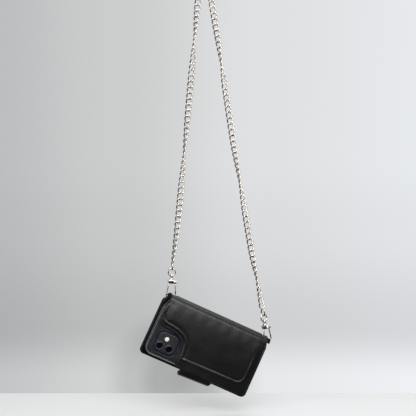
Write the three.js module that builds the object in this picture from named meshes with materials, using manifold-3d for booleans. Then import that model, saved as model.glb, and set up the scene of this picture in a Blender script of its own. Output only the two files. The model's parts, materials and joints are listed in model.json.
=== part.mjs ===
// Chain wallet: a leather phone folio hung by a curb chain from two swivel snap clasps.
// Millimetres, +Z up. The origin is the top of the chain loop, where the wallet hangs;
// the wallet's back faces -Y and its front cover faces +Y.

import * as THREE from "three";
import { mergeVertices } from "three/addons/utils/BufferGeometryUtils.js";
import Module from "manifold-3d";

const wasm = await Module();
wasm.setup();

const DEGREE = Math.PI / 180;
const GAP = 0.3;                      // between touching pieces

// ---------------------------------------------------------------- driving dimensions
// The wallet lies in its own group: X along the spine, Z = 0 at the spine's crest, Z down to the open edge.
const WALLET_PLACE = { x: -48.6, z: -437.0, tilt: 24.9 * DEGREE };
const COVER_LENGTH = 155.2;
const COVER_DROP = 89.0;              // crest to the cover's open edge
const HALF_THICKNESS = 8.7;           // middle of the stack to either leather face
const LEATHER = 1.5;
const LINING = 1.0;
const CREASE_Z = -8.8;                // where the round spine turns into the flat faces
const CORNER = 6.5;

const PANEL = { left: 4.2, right: 154.2, bottom: -88.4 };
const SPINE_LEATHER = { left: 6.9, right: 153.0 };
const SPINE_LINING = { left: 2.9, right: 156.5 };
const SLOT_HALF_DEPTH = 4.5;
const SLOTS = [[8.5, 15.0], [143.2, 148.6]];

const PHONE = { left: 4.8, right: 150.8, top: -13.0, bottom: -83.4, back: -5.3, front: 2.2, corner: 9 };
const SHELL_WALL = 1.3;
const SHELL_BACK = -6.8;
const SHELL_FRONT = 3.0;
const SHELL_LIP = 1.0;                // how far the rim laps over the screen's edge
const ISLAND = { x: 28.2, z: -63.3, width: 30.4, height: 28.6, corner: 8.5 };
const ISLAND_FACE = -6.7;
const WINDOW_MARGIN = 1.2;
const LENSES = [[19.9, -68.8], [33.7, -68.9]];
const LENS_RING = { outer: 5.9, inner: 4.5 };
const LENS_GLASS_RADIUS = 4.1;
const FLASH = { x: 26.0, z: -58.0, radius: 2.9 };

const POCKET_LAYER = 0.4;
const POCKET_PITCH = 0.7;             // from one pocket layer to the next
const STRAP = { left: 58.0, right: 104.6, axisZ: -89.0, drop: 4.8, frontEnd: -90.0 };

const CHAIN_WIDTH = 9.2;
const LINK_WIRE = 2.0;
const END_LINK = { width: 8.4, length: 11.0 };
const TOP_LINK = { width: 9.0, length: 15.0 };

// Each clasp lies in a group of its own: origin at the middle of its bottom bar, Z up its own axis.
const CLASP = {
  wire: 1.7, barHalf: 6.4, topHalf: 4.0, bend: 2.0,
  blockBottom: 17, blockTop: 22.2, blockHalfWidth: 4.0, blockHalfDepth: 3.4,
  swivelX: -1.2, gateX: 4.7, gateZ: 18.8, gateTip: 2.7,
};
const HUB_RADIUS = 1.5;
const HUB_HALF = 0.8;
const PIN_RADIUS = 0.5;
const PIN_HOLE = 0.85;
const LUG_INNER = 2.0;
const EYE = { z: 27.0, radius: 3.1, hole: 1.5, halfThick: 1.5 };
const RING = { radius: 4.7, straight: 0.2, wire: 1.8 };
const RING_BOTTOM = EYE.z + GAP;                                       // middle of its lowest wire
const RING_MIDDLE = RING_BOTTOM + RING.radius + RING.straight;
const RING_TOP = RING_MIDDLE + RING.radius + RING.straight;
const END_LINK_MIDDLE = RING_TOP - RING.wire / 2 - GAP - LINK_WIRE + END_LINK.length / 2;
const CLASP_PLACES = {
  left: { x: -43.8, z: -444.3, lean: 5 * DEGREE, turn: 0 },
  right: { x: 89.3, z: -507.3, lean: -8.5 * DEGREE, turn: 25 * DEGREE },
};

// The two hanging runs of chain, from the top link to the end link, as [x, z].
const LEFT_RUN = [
  [-4.4, -9.4], [-6.0, -40], [-8.6, -70], [-11.2, -100], [-13.9, -130], [-16.7, -160], [-19.4, -190],
  [-22.2, -220], [-25.0, -250], [-27.7, -280], [-30.4, -310], [-33.4, -340], [-36.9, -370], [-41.0, -398.9],
];
const RIGHT_RUN = [
  [5.4, -9.4], [10.1, -40], [15.2, -70], [20.2, -100], [24.9, -130], [29.4, -160], [34.0, -190], [38.6, -220],
  [43.4, -250], [48.5, -280], [53.7, -310], [58.8, -340], [63.9, -370], [69.3, -400], [75.3, -430],
  [81.5, -462.4],
];

// ---------------------------------------------------------------- materials
function material(color, roughness, metalness = 0) {
  return new THREE.MeshStandardMaterial({ color, roughness, metalness });
}
const BLACK_LEATHER = material(0x232024, 0.5);
const BLACK_LINING = material(0x18171a, 0.85);
const SILVER = material(0xd8d6d0, 0.18, 1);
const SPRING_STEEL = material(0xa9a9ad, 0.3, 1);
const BOARD = material(0x6b6258, 0.9);
const MAGNET = material(0x8a8c90, 0.35, 1);
const SHELL_RUBBER = material(0x121315, 0.6);
const PHONE_METAL = material(0x20232a, 0.4, 0.6);
const PHONE_GLASS = material(0x0c0f16, 0.1);
const LENS_GLASS = material(0x05070a, 0.05);
const FLASH_WINDOW = material(0xf2efe6, 0.3);

// ---------------------------------------------------------------- solids
function asManifold(geometry) {
  const bare = geometry.clone();
  bare.deleteAttribute("normal");
  bare.deleteAttribute("uv");
  const merged = mergeVertices(bare, 1e-4);
  return new wasm.Manifold(new wasm.Mesh({
    numProp: 3,
    vertProperties: new Float32Array(merged.attributes.position.array),
    triVerts: new Uint32Array(merged.index.array),
  }));
}

function fromManifold(solid) {
  const mesh = solid.getMesh();
  const geometry = new THREE.BufferGeometry();
  geometry.setAttribute("position", new THREE.BufferAttribute(new Float32Array(mesh.vertProperties), 3));
  geometry.setIndex(new THREE.BufferAttribute(new Uint32Array(mesh.triVerts), 1));
  geometry.computeVertexNormals();
  return geometry;
}

function cut(geometry, ...tools) {
  return fromManifold(tools.reduce((solid, tool) => solid.subtract(asManifold(tool)), asManifold(geometry)));
}

function join(geometry, ...others) {
  return fromManifold(others.reduce((solid, other) => solid.add(asManifold(other)), asManifold(geometry)));
}

function box(x0, x1, y0, y1, z0, z1) {
  const geometry = new THREE.BoxGeometry(x1 - x0, y1 - y0, z1 - z0);
  return geometry.translate((x0 + x1) / 2, (y0 + y1) / 2, (z0 + z1) / 2);
}

// A shape drawn in X and Z, standing between two Y faces.
function slab(shape, yBack, yFront, curveSegments = 8) {
  const geometry = new THREE.ExtrudeGeometry(shape, {
    depth: yFront - yBack, bevelEnabled: false, curveSegments,
  });
  return geometry.rotateX(Math.PI / 2).translate(0, yFront, 0);
}

// A shape drawn in Y and Z, running along X.
function rail(shape, xLeft, xRight, curveSegments = 12) {
  const geometry = new THREE.ExtrudeGeometry(shape, {
    depth: xRight - xLeft, bevelEnabled: false, curveSegments,
  });
  const turn = new THREE.Matrix4().makeBasis(
    new THREE.Vector3(0, 1, 0), new THREE.Vector3(0, 0, 1), new THREE.Vector3(1, 0, 0));
  return geometry.applyMatrix4(turn).translate(xLeft, 0, 0);
}

// A rectangle with its own radius at the top and bottom corners.
function roundedRectangle(left, right, bottom, top, lowRadius, highRadius) {
  const shape = new THREE.Shape();
  shape.moveTo(left, bottom + lowRadius);
  if (lowRadius > 0) shape.absarc(left + lowRadius, bottom + lowRadius, lowRadius, Math.PI, 1.5 * Math.PI);
  shape.lineTo(right - lowRadius, bottom);
  if (lowRadius > 0) shape.absarc(right - lowRadius, bottom + lowRadius, lowRadius, 1.5 * Math.PI, 2 * Math.PI);
  shape.lineTo(right, top - highRadius);
  if (highRadius > 0) shape.absarc(right - highRadius, top - highRadius, highRadius, 0, Math.PI / 2);
  shape.lineTo(left + highRadius, top);
  if (highRadius > 0) shape.absarc(left + highRadius, top - highRadius, highRadius, Math.PI / 2, Math.PI);
  return shape;
}

// A cylinder whose axis is along Y.
function disc(x, z, radius, yBack, yFront, segments = 24) {
  const geometry = new THREE.CylinderGeometry(radius, radius, yFront - yBack, segments);
  return geometry.translate(x, (yBack + yFront) / 2, z);
}

// A link of round wire in the YZ plane, its long way along Z.
function link(width, length, wire, middle) {
  const radius = (width - wire) / 2;
  const straight = (length - width) / 2;
  const segments = 16;
  const geometry = new THREE.TorusGeometry(radius, wire / 2, 8, segments);
  geometry.rotateZ(Math.PI / segments);
  stretch(geometry, straight);
  return geometry.rotateX(Math.PI / 2).rotateZ(Math.PI / 2).translate(middle.x, middle.y, middle.z);
}

// Pulls the two halves of a ring apart along Y, so that it gets straight sides.
function stretch(geometry, half) {
  const position = geometry.attributes.position;
  for (let i = 0; i < position.count; i += 1) {
    position.setY(i, position.getY(i) + Math.sign(position.getY(i)) * half);
  }
}

// Round wire along a path.
function wireAlong(path, diameter, steps, sides = 8) {
  const section = new THREE.Shape();
  section.absarc(0, 0, diameter / 2, 0, 2 * Math.PI);
  return new THREE.ExtrudeGeometry(section, { steps, extrudePath: path, curveSegments: sides / 2 });
}

function named(name, geometry, look) {
  const mesh = new THREE.Mesh(geometry, look);
  mesh.name = name;
  return mesh;
}

// ---------------------------------------------------------------- leather back and spine
// The back panel's left end is cut away in an S so that the cameras look out.
function backPanelShape() {
  const shape = new THREE.Shape();
  const { left, right, bottom } = PANEL;
  const top = CREASE_Z - GAP;
  shape.moveTo(left + 3, top);
  shape.quadraticCurveTo(left + 0.6, top - 1, left, -16);
  shape.quadraticCurveTo(left + 0.6, -26, 6.1, -33);
  shape.bezierCurveTo(7.5, -42.6, 11.4, -44.4, 21, -44.6);
  shape.bezierCurveTo(38, -45, 46.9, -51.5, 47.2, -66.2);
  shape.bezierCurveTo(47.4, -74.2, 45.9, -77.4, 47.4, -81);
  shape.bezierCurveTo(48.8, -84.2, 53, bottom, 59, bottom);
  shape.lineTo(right - CORNER, bottom);
  shape.absarc(right - CORNER, bottom + CORNER, CORNER, 1.5 * Math.PI, 2 * Math.PI);
  shape.lineTo(right, top);
  return shape;
}

// Half a round tube over the top of the stack, open below.
function archShape(outer, thickness) {
  const shape = new THREE.Shape();
  shape.absarc(0, CREASE_Z, outer, 0, Math.PI);
  shape.absarc(0, CREASE_Z, outer - thickness, Math.PI, 0, true);
  return shape;
}

function slotted(arch) {
  const cutters = SLOTS.map(([x0, x1]) => box(x0, x1, -SLOT_HALF_DEPTH, SLOT_HALF_DEPTH, -5, 1));
  return cut(arch, ...cutters);
}

function leatherBack() {
  const liningRadius = HALF_THICKNESS - LEATHER - GAP;
  const leather = rail(archShape(HALF_THICKNESS, LEATHER), SPINE_LEATHER.left, SPINE_LEATHER.right);
  const lining = rail(archShape(liningRadius, LINING), SPINE_LINING.left, SPINE_LINING.right);
  return [
    named("back_panel", slab(backPanelShape(), -HALF_THICKNESS, LEATHER - HALF_THICKNESS, 10), BLACK_LEATHER),
    named("spine_leather", slotted(leather), BLACK_LEATHER),
    named("spine_lining", slotted(lining), BLACK_LINING),
  ];
}

// ---------------------------------------------------------------- shell and phone
function grown(margin, radius = PHONE.corner + margin) {
  const { left, right, top, bottom } = PHONE;
  return roundedRectangle(left - margin, right + margin, bottom - margin, top + margin, radius, radius);
}

function islandShape(margin) {
  const halfWidth = ISLAND.width / 2 + margin;
  const halfHeight = ISLAND.height / 2 + margin;
  const radius = ISLAND.corner + margin;
  return roundedRectangle(ISLAND.x - halfWidth, ISLAND.x + halfWidth, ISLAND.z - halfHeight,
    ISLAND.z + halfHeight, radius, radius);
}

function shell() {
  const body = slab(grown(GAP + SHELL_WALL), SHELL_BACK, SHELL_FRONT);
  const pocket = slab(grown(GAP), PHONE.back - GAP, PHONE.front + GAP);
  const mouth = slab(grown(-SHELL_LIP), PHONE.front, SHELL_FRONT + 1);
  const window = slab(islandShape(WINDOW_MARGIN), SHELL_BACK - 1, PHONE.back);
  return named("phone_shell", cut(body, pocket, mouth, window), SHELL_RUBBER);
}

function phone() {
  const glass = 0.6;
  const screenBack = PHONE.front - glass;
  const glassFront = PHONE.back + glass;
  const ringBack = ISLAND_FACE - GAP;
  const pieces = [
    named("phone_frame", slab(grown(0), glassFront + GAP, screenBack - GAP), PHONE_METAL),
    named("phone_screen", slab(grown(-0.4), screenBack, PHONE.front), PHONE_GLASS),
    named("phone_back_glass", slab(grown(-0.4), PHONE.back, glassFront), PHONE_GLASS),
    named("camera_island", slab(islandShape(0), ISLAND_FACE, PHONE.back - GAP), PHONE_GLASS),
    named("flash_window", disc(FLASH.x, FLASH.z, FLASH.radius, ringBack - 0.4, ringBack), FLASH_WINDOW),
  ];
  LENSES.forEach(([x, z], index) => {
    const rim = disc(x, z, LENS_RING.outer, ringBack - 0.6, ringBack);
    const bore = disc(x, z, LENS_RING.inner, ringBack - 2, ringBack + 1);
    const glassDisc = disc(x, z, LENS_GLASS_RADIUS, ringBack - 0.4, ringBack);
    pieces.push(named(`lens_ring_${index + 1}`, cut(rim, bore), PHONE_METAL));
    pieces.push(named(`lens_glass_${index + 1}`, glassDisc, LENS_GLASS));
  });
  return pieces;
}

// ---------------------------------------------------------------- front cover with its card pockets
function cover() {
  const top = CREASE_Z - 0.6;
  const face = HALF_THICKNESS;
  const inside = face - LEATHER + 0.1;
  const boardFront = inside - GAP;
  const boardBack = boardFront - 0.6;
  const liningFront = boardBack - GAP;
  const liningBack = liningFront - 0.5;
  const sheet = (left, right, bottom, high, radius, yBack, yFront) =>
    slab(roundedRectangle(left, right, bottom, high, radius, 0), yBack, yFront);
  const magnet = { x: 77, z: -79.5, radius: 5 };
  const board = sheet(3, COVER_LENGTH - 3, -COVER_DROP + 3, -12, CORNER - 2, boardBack, boardFront);
  const magnetHole = disc(magnet.x, magnet.z, magnet.radius + GAP, boardBack - 1, boardFront + 1);
  const pieces = [
    named("cover_leather", sheet(0, COVER_LENGTH, -COVER_DROP, top, CORNER, inside, face), BLACK_LEATHER),
    named("cover_board", cut(board, magnetHole), BOARD),
    named("cover_magnet", disc(magnet.x, magnet.z, magnet.radius, boardBack, boardFront), MAGNET),
    named("cover_lining", sheet(2, COVER_LENGTH - 2, -COVER_DROP + 1.8, -11, CORNER - 1, liningBack, liningFront),
      BLACK_LINING),
  ];
  // Three card pockets, each starting lower than the one behind it, all open towards the spine.
  const pocketLeft = 8;
  const pocketRight = 98;
  const pocketBottom = -84;
  const layer = (index) => liningBack - GAP - index * POCKET_PITCH;
  [-20, -34, -48].forEach((pocketTop, index) => {
    const geometry = sheet(pocketLeft, pocketRight, pocketBottom, pocketTop, 3,
      layer(index) - POCKET_LAYER, layer(index));
    pieces.push(named(`card_pocket_${index + 1}`, geometry, BLACK_LEATHER));
  });
  const slip = sheet(pocketRight + 3, COVER_LENGTH - 7, pocketBottom, -28, 3, layer(0) - POCKET_LAYER, layer(0));
  pieces.push(named("slip_pocket", slip, BLACK_LEATHER));
  return pieces;
}

// ---------------------------------------------------------------- closure strap under the open edge
// A band of an ellipse's arc, from the back panel's edge round to the cover's edge.
function strapBand(outer, thickness, startAngle, frontEnd, left, right) {
  const inner = outer - thickness;
  const outerDrop = STRAP.drop - (HALF_THICKNESS - outer);
  const innerDrop = outerDrop - thickness;
  const angleAt = (drop) => -Math.asin((STRAP.axisZ - frontEnd) / drop);
  const shape = new THREE.Shape();
  shape.absellipse(0, STRAP.axisZ, outer, outerDrop, startAngle, 2 * Math.PI + angleAt(outerDrop), false, 0);
  shape.absellipse(0, STRAP.axisZ, inner, innerDrop, 2 * Math.PI + angleAt(innerDrop), startAngle, true, 0);
  return rail(shape, left, right, 14);
}

function strap() {
  const outerThick = 1.1;
  const liningOuter = HALF_THICKNESS - 2.1;
  const magnetOuter = HALF_THICKNESS - outerThick - GAP;
  const magnetStart = 1.6 * Math.PI;
  return [
    named("strap_leather",
      strapBand(HALF_THICKNESS, outerThick, Math.PI, STRAP.frontEnd, STRAP.left, STRAP.right), BLACK_LEATHER),
    named("strap_lining",
      strapBand(liningOuter, 0.7, Math.PI, STRAP.frontEnd - 0.4, STRAP.left + 0.5, STRAP.right - 0.5),
      BLACK_LINING),
    named("strap_magnet",
      strapBand(magnetOuter, 0.4, magnetStart, STRAP.frontEnd - 1, STRAP.left + 14, STRAP.right - 14), MAGNET),
  ];
}

// ---------------------------------------------------------------- swivel clasps
// Left leg, bottom bar and the nose that the gate closes on, as one bent wire.
function framePath() {
  const { barHalf, topHalf, bend, blockBottom, gateTip } = CLASP;
  const point = (x, z) => new THREE.Vector3(x, 0, z);
  const lean = (barHalf - topHalf) / blockBottom;
  const path = new THREE.CurvePath();
  path.add(new THREE.LineCurve3(point(-topHalf + lean, blockBottom + 1), point(-barHalf + bend * lean, bend)));
  path.add(new THREE.QuadraticBezierCurve3(
    point(-barHalf + bend * lean, bend), point(-barHalf, 0), point(-barHalf + bend, 0)));
  path.add(new THREE.LineCurve3(point(-barHalf + bend, 0), point(barHalf - bend, 0)));
  path.add(new THREE.QuadraticBezierCurve3(
    point(barHalf - bend, 0), point(barHalf, 0), point(barHalf - 0.2, gateTip - 0.4)));
  return path;
}

function claspFrame() {
  const { wire, blockBottom, blockTop, blockHalfWidth, blockHalfDepth, swivelX, gateX, gateZ } = CLASP;
  const blockLeft = swivelX - blockHalfWidth;
  const blockRight = swivelX + blockHalfWidth;
  const block = box(blockLeft, blockRight, -blockHalfDepth, blockHalfDepth, blockBottom, blockTop);
  const lugs = [-1, 1].map((side) => {
    const middle = side * (LUG_INNER + blockHalfDepth) / 2;
    const half = (blockHalfDepth - LUG_INNER) / 2;
    return box(blockRight - 0.5, gateX + HUB_RADIUS, middle - half, middle + half, gateZ - 1.5, gateZ + 1.8);
  });
  const pinHole = disc(gateX, gateZ, PIN_HOLE, -blockHalfDepth - 1, blockHalfDepth + 1, 12);
  const bore = new THREE.CylinderGeometry(1.4, 1.4, 20, 16).rotateX(Math.PI / 2).translate(swivelX, 0, blockTop);
  const counterbore = new THREE.CylinderGeometry(2.3, 2.3, 6, 16).rotateX(Math.PI / 2)
    .translate(swivelX, 0, blockBottom);
  return cut(join(block, ...lugs, wireAlong(framePath(), wire, 30)), pinHole, bore, counterbore);
}

function gate() {
  const { wire, gateX, gateZ, gateTip, barHalf } = CLASP;
  const hub = disc(gateX, gateZ, HUB_RADIUS, -HUB_HALF, HUB_HALF, 16);
  const path = new THREE.LineCurve3(new THREE.Vector3(gateX, 0, gateZ - 1.1),
    new THREE.Vector3(barHalf - 0.25, 0, gateTip));
  const hole = disc(gateX, gateZ, PIN_HOLE, -2, 2, 12);
  return cut(join(hub, wireAlong(path, wire, 2)), hole);
}

function gateSpring() {
  const { gateX, gateZ } = CLASP;
  const coil = disc(gateX, gateZ, HUB_RADIUS - 0.1, HUB_HALF + GAP, LUG_INNER - GAP, 16);
  return cut(coil, disc(gateX, gateZ, PIN_HOLE, 0, LUG_INNER + 1, 12));
}

// Head, post, cone and a flat eye whose hole runs along X.
function swivelEye() {
  const { blockTop, swivelX } = CLASP;
  const headLow = blockTop - 4.4;
  const headHigh = headLow + 1.6;
  const profile = [[0, headLow], [1.9, headLow], [1.9, headHigh], [1.05, headHigh], [1.05, blockTop + GAP],
    [3.0, blockTop + GAP], [3.0, blockTop + 0.9], [1.7, blockTop + 2.4], [0, blockTop + 2.4]];
  const post = new THREE.LatheGeometry(profile.map(([r, z]) => new THREE.Vector2(r, z)), 16);
  post.rotateX(Math.PI / 2);
  const acrossX = (radius, half) => new THREE.CylinderGeometry(radius, radius, 2 * half, 20)
    .rotateZ(Math.PI / 2).translate(0, 0, EYE.z);
  const eye = join(post, acrossX(EYE.radius, EYE.halfThick));
  return cut(eye, acrossX(EYE.hole, 4)).translate(swivelX, 0, 0);
}

function jumpRing() {
  const segments = 20;
  const geometry = new THREE.TorusGeometry(RING.radius, RING.wire / 2, 8, segments);
  geometry.rotateZ(Math.PI / segments);
  stretch(geometry, RING.straight);
  return geometry.rotateX(Math.PI / 2).translate(CLASP.swivelX, 0, RING_MIDDLE);
}

function clasp(side) {
  const { x, z, lean, turn } = CLASP_PLACES[side];
  const { gateX, gateZ, blockHalfDepth, swivelX } = CLASP;
  const group = new THREE.Group();
  const middle = new THREE.Vector3(swivelX, 0, END_LINK_MIDDLE);
  group.add(
    named(`clasp_frame_${side}`, claspFrame(), SILVER),
    named(`gate_${side}`, gate(), SILVER),
    named(`gate_pin_${side}`, disc(gateX, gateZ, PIN_RADIUS, -blockHalfDepth - 0.3, blockHalfDepth + 0.3, 12),
      SPRING_STEEL),
    named(`gate_spring_${side}`, gateSpring(), SPRING_STEEL),
    named(`swivel_eye_${side}`, swivelEye(), SILVER),
    named(`jump_ring_${side}`, jumpRing(), SILVER),
    named(`end_link_${side}`, link(END_LINK.width, END_LINK.length, LINK_WIRE, middle), SILVER),
  );
  group.position.set(x, 0, z);
  group.rotation.set(0, lean, turn);
  return group;
}

// ---------------------------------------------------------------- chain
function run(points) {
  const path = new THREE.CatmullRomCurve3(points.map(([x, z]) => new THREE.Vector3(x, 0, z)));
  const steps = Math.round(path.getLength() / (2.5 * CHAIN_WIDTH));
  return wireAlong(path, CHAIN_WIDTH, steps);
}

function topLink() {
  const middle = new THREE.Vector3(0, 0, 0);
  const geometry = link(TOP_LINK.width, TOP_LINK.length, LINK_WIRE, middle);
  return geometry.rotateZ(Math.PI / 2).rotateY(Math.PI / 2).translate(0.5, 0, -TOP_LINK.width / 2);
}

function chain() {
  return [
    named("top_link", topLink(), SILVER),
    named("chain_left", run(LEFT_RUN), SILVER),
    named("chain_right", run(RIGHT_RUN), SILVER),
  ];
}

// ---------------------------------------------------------------- the whole wallet
const wallet = new THREE.Group();
wallet.add(...leatherBack(), shell(), ...phone(), ...cover(), ...strap());
wallet.position.set(WALLET_PLACE.x, 0, WALLET_PLACE.z);
wallet.rotation.y = WALLET_PLACE.tilt;

const chainWallet = new THREE.Group();
chainWallet.add(...chain(), clasp("left"), clasp("right"), wallet);

export default chainWallet;
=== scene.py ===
# Chain wallet: the looks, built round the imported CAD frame.
import json
import math

import bmesh
import bpy
import numpy as np
from mathutils import Matrix, Vector
from mathutils.geometry import delaunay_2d_cdt


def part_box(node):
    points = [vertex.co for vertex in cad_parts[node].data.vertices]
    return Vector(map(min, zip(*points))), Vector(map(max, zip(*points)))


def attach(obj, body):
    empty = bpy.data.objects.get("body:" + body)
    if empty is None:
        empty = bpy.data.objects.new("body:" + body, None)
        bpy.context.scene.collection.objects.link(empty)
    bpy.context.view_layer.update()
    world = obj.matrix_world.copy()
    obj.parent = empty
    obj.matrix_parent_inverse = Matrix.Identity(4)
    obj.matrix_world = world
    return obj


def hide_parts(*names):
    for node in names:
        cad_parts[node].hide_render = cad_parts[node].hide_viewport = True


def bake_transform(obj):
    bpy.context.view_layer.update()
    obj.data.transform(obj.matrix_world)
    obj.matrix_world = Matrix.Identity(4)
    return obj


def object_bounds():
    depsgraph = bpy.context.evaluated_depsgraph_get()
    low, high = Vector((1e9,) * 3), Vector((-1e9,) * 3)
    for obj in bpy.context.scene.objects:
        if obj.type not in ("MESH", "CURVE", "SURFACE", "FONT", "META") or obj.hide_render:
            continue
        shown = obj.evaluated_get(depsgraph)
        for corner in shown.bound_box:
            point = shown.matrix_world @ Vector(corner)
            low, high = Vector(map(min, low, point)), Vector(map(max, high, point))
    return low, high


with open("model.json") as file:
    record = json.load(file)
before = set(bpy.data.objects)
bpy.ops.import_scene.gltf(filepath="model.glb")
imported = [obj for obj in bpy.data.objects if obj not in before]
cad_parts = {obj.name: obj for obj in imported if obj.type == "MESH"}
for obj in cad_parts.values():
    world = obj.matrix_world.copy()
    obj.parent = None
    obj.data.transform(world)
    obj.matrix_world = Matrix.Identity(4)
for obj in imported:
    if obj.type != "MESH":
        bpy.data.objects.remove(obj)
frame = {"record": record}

CAD_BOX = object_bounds()
MM = 0.001
JOINTS = {joint["name"]: joint for joint in frame["record"]["behaviour"]["joints"]}
SIDES = ("left", "right")


# ---------------------------------------------------------------- places, all taken from the frame's joints
def frame_matrix(x_axis, y_axis, origin):
    """A placing matrix whose columns are two given axes, their cross product and an origin in metres."""
    x_axis, y_axis = Vector(x_axis).normalized(), Vector(y_axis).normalized()
    z_axis = x_axis.cross(y_axis)
    return Matrix((
        (x_axis.x, y_axis.x, z_axis.x, origin[0]),
        (x_axis.y, y_axis.y, z_axis.y, origin[1]),
        (x_axis.z, y_axis.z, z_axis.z, origin[2]),
        (0, 0, 0, 1),
    ))


def wallet_place():
    """Wallet coordinates in millimetres: X along the spine, Y to the front cover, Z = 0 at the crest."""
    hinge = JOINTS["cover_hinge"]
    turn = frame_matrix(hinge["axis"], (0, 1, 0), (0, 0, 0))
    origin = Vector(hinge["pos_m"]) - turn @ (Vector(COVER_HINGE) * MM)
    return Matrix.Translation(origin) @ turn @ Matrix.Scale(MM, 4)


def clasp_place(side):
    """Clasp coordinates: origin at the middle of the bottom bar, Z up the clasp, Y along the gate's pin."""
    z_axis = Vector(JOINTS[f"swivel_turn_{side}"]["axis"])
    y_axis = Vector(JOINTS[f"gate_swing_{side}"]["axis"])
    turn = frame_matrix(y_axis.cross(z_axis), y_axis, (0, 0, 0))
    origin = Vector(JOINTS[f"swivel_turn_{side}"]["pos_m"]) - turn @ (Vector(SWIVEL_SEAT) * MM)
    return Matrix.Translation(origin) @ turn @ Matrix.Scale(MM, 4)


# The wallet's driving sizes, as in the CAD part, in millimetres.
COVER_HINGE = (76.8, 8.7, -9.1)
SWIVEL_SEAT = (-1.2, 0.0, 22.2)
HALF_THICKNESS = 8.7
LEATHER = 1.5
CREASE_Z = -8.8
ARCH = math.pi * HALF_THICKNESS          # the leather's way over the spine, from crease to crease
PANEL_LEFT, PANEL_RIGHT, PANEL_BOTTOM = 4.2, 154.2, -88.4
CORNER = 6.5
COVER_LENGTH, COVER_DROP = 155.2, 89.0
LINING_LEFT, LINING_RIGHT = 2.9, 156.5
SLOTS = ((8.5, 15.0), (143.2, 148.6))
SLOT_REACH = 4.6                         # along the hide, from the crest to the slot's end
STRAP_LEFT, STRAP_RIGHT = 58.0, 104.6
STRAP_AXIS_Z, STRAP_DROP, STRAP_END_Z = -89.0, 4.8, -90.0
PHONE = {"left": 4.8, "right": 150.8, "bottom": -83.4, "top": -13.0, "corner": 9.0}
SHELL_MARGIN, SHELL_BACK, SHELL_FRONT = 1.6, -6.8, 3.0
ISLAND = {"x": 28.2, "z": -63.3, "width": 30.4, "height": 28.6, "corner": 8.5}
LENSES = ((19.9, -68.8), (33.7, -68.9))
FLASH = (26.0, -58.0)
CHAIN_WIDTH = 9.2
LINK_WIRE = 2.0
LINK_PITCH = 7.9

WALLET = wallet_place()
CLASPS = {side: clasp_place(side) for side in SIDES}


# ---------------------------------------------------------------- camera
VIEW_AZIMUTH = math.radians(-10)
VIEW_FORWARD = Vector((-math.sin(VIEW_AZIMUTH), math.cos(VIEW_AZIMUTH), 0))
VIEW_RIGHT = Vector((math.cos(VIEW_AZIMUTH), math.sin(VIEW_AZIMUTH), 0))
VIEW_DISTANCE = 1162.5
AIM = Vector((6.8, 0, -326.8))


def make_camera():
    """Level, behind the wallet's back panel and a little to its left."""
    data = bpy.data.cameras.new("camera")
    data.lens = 75.0
    data.sensor_width = 36.0
    data.clip_start, data.clip_end = 0.05, 20
    camera = bpy.data.objects.new("camera", data)
    bpy.context.scene.collection.objects.link(camera)
    camera.location = (AIM - VIEW_FORWARD * VIEW_DISTANCE) * MM
    camera.rotation_mode = "QUATERNION"
    camera.rotation_quaternion = VIEW_FORWARD.to_track_quat("-Z", "Y")
    bpy.context.scene.camera = camera


# ---------------------------------------------------------------- materials
class Shader:
    """A Principled material with a few procedural helpers. Coordinates are the object's own, in metres."""

    def __init__(self, name, **values):
        self.material = bpy.data.materials.new(name)
        self.material.use_nodes = True
        self.nodes = self.material.node_tree.nodes
        self.links = self.material.node_tree.links
        self.bsdf = self.nodes["Principled BSDF"]
        self.coordinates = self.nodes.new("ShaderNodeTexCoord").outputs["Object"]
        for socket, value in values.items():
            self.bsdf.inputs[socket.replace("_", " ")].default_value = value

    def node(self, kind, **values):
        made = self.nodes.new(kind)
        for key, value in values.items():
            setattr(made, key, value)
        return made

    def noise(self, scale, detail=4.0, roughness=0.55, stretch=None):
        texture = self.node("ShaderNodeTexNoise")
        texture.inputs["Scale"].default_value = scale
        texture.inputs["Detail"].default_value = detail
        texture.inputs["Roughness"].default_value = roughness
        self.links.new(self.stretched(stretch), texture.inputs["Vector"])
        return texture.outputs["Fac"]

    def cells(self, scale):
        texture = self.node("ShaderNodeTexVoronoi", feature="DISTANCE_TO_EDGE")
        texture.inputs["Scale"].default_value = scale
        self.links.new(self.coordinates, texture.inputs["Vector"])
        return texture.outputs["Distance"]

    def stretched(self, stretch):
        if stretch is None:
            return self.coordinates
        mapping = self.node("ShaderNodeMapping")
        mapping.inputs["Scale"].default_value = stretch
        self.links.new(self.coordinates, mapping.inputs["Vector"])
        return mapping.outputs["Vector"]

    def ramp(self, factor, stops):
        node = self.node("ShaderNodeValToRGB")
        elements = node.color_ramp.elements
        while len(elements) < len(stops):
            elements.new(0.5)
        for element, (position, colour) in zip(elements, stops):
            element.position = position
            element.color = (*colour, 1) if hasattr(colour, "__len__") else (colour, colour, colour, 1)
        self.links.new(factor, node.inputs["Fac"])
        return node.outputs["Color"]

    def feed(self, socket, value):
        self.links.new(value, self.bsdf.inputs[socket])

    def vary(self, socket, factor, low, high, start=0.3, end=0.7):
        """Feeds a socket with low up to the factor's start, with high past its end and a blend between."""
        self.feed(socket, self.ramp(factor, ((start, low), (end, high))))

    def bump(self, layers):
        """Stacks bump layers: (height output, strength, depth in metres)."""
        normal = None
        for height, strength, depth in layers:
            node = self.node("ShaderNodeBump")
            node.inputs["Strength"].default_value = strength
            node.inputs["Distance"].default_value = depth
            self.links.new(height, node.inputs["Height"])
            if normal is not None:
                self.links.new(normal, node.inputs["Normal"])
            normal = node.outputs["Normal"]
        self.feed("Normal", normal)
        return self.material


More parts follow.
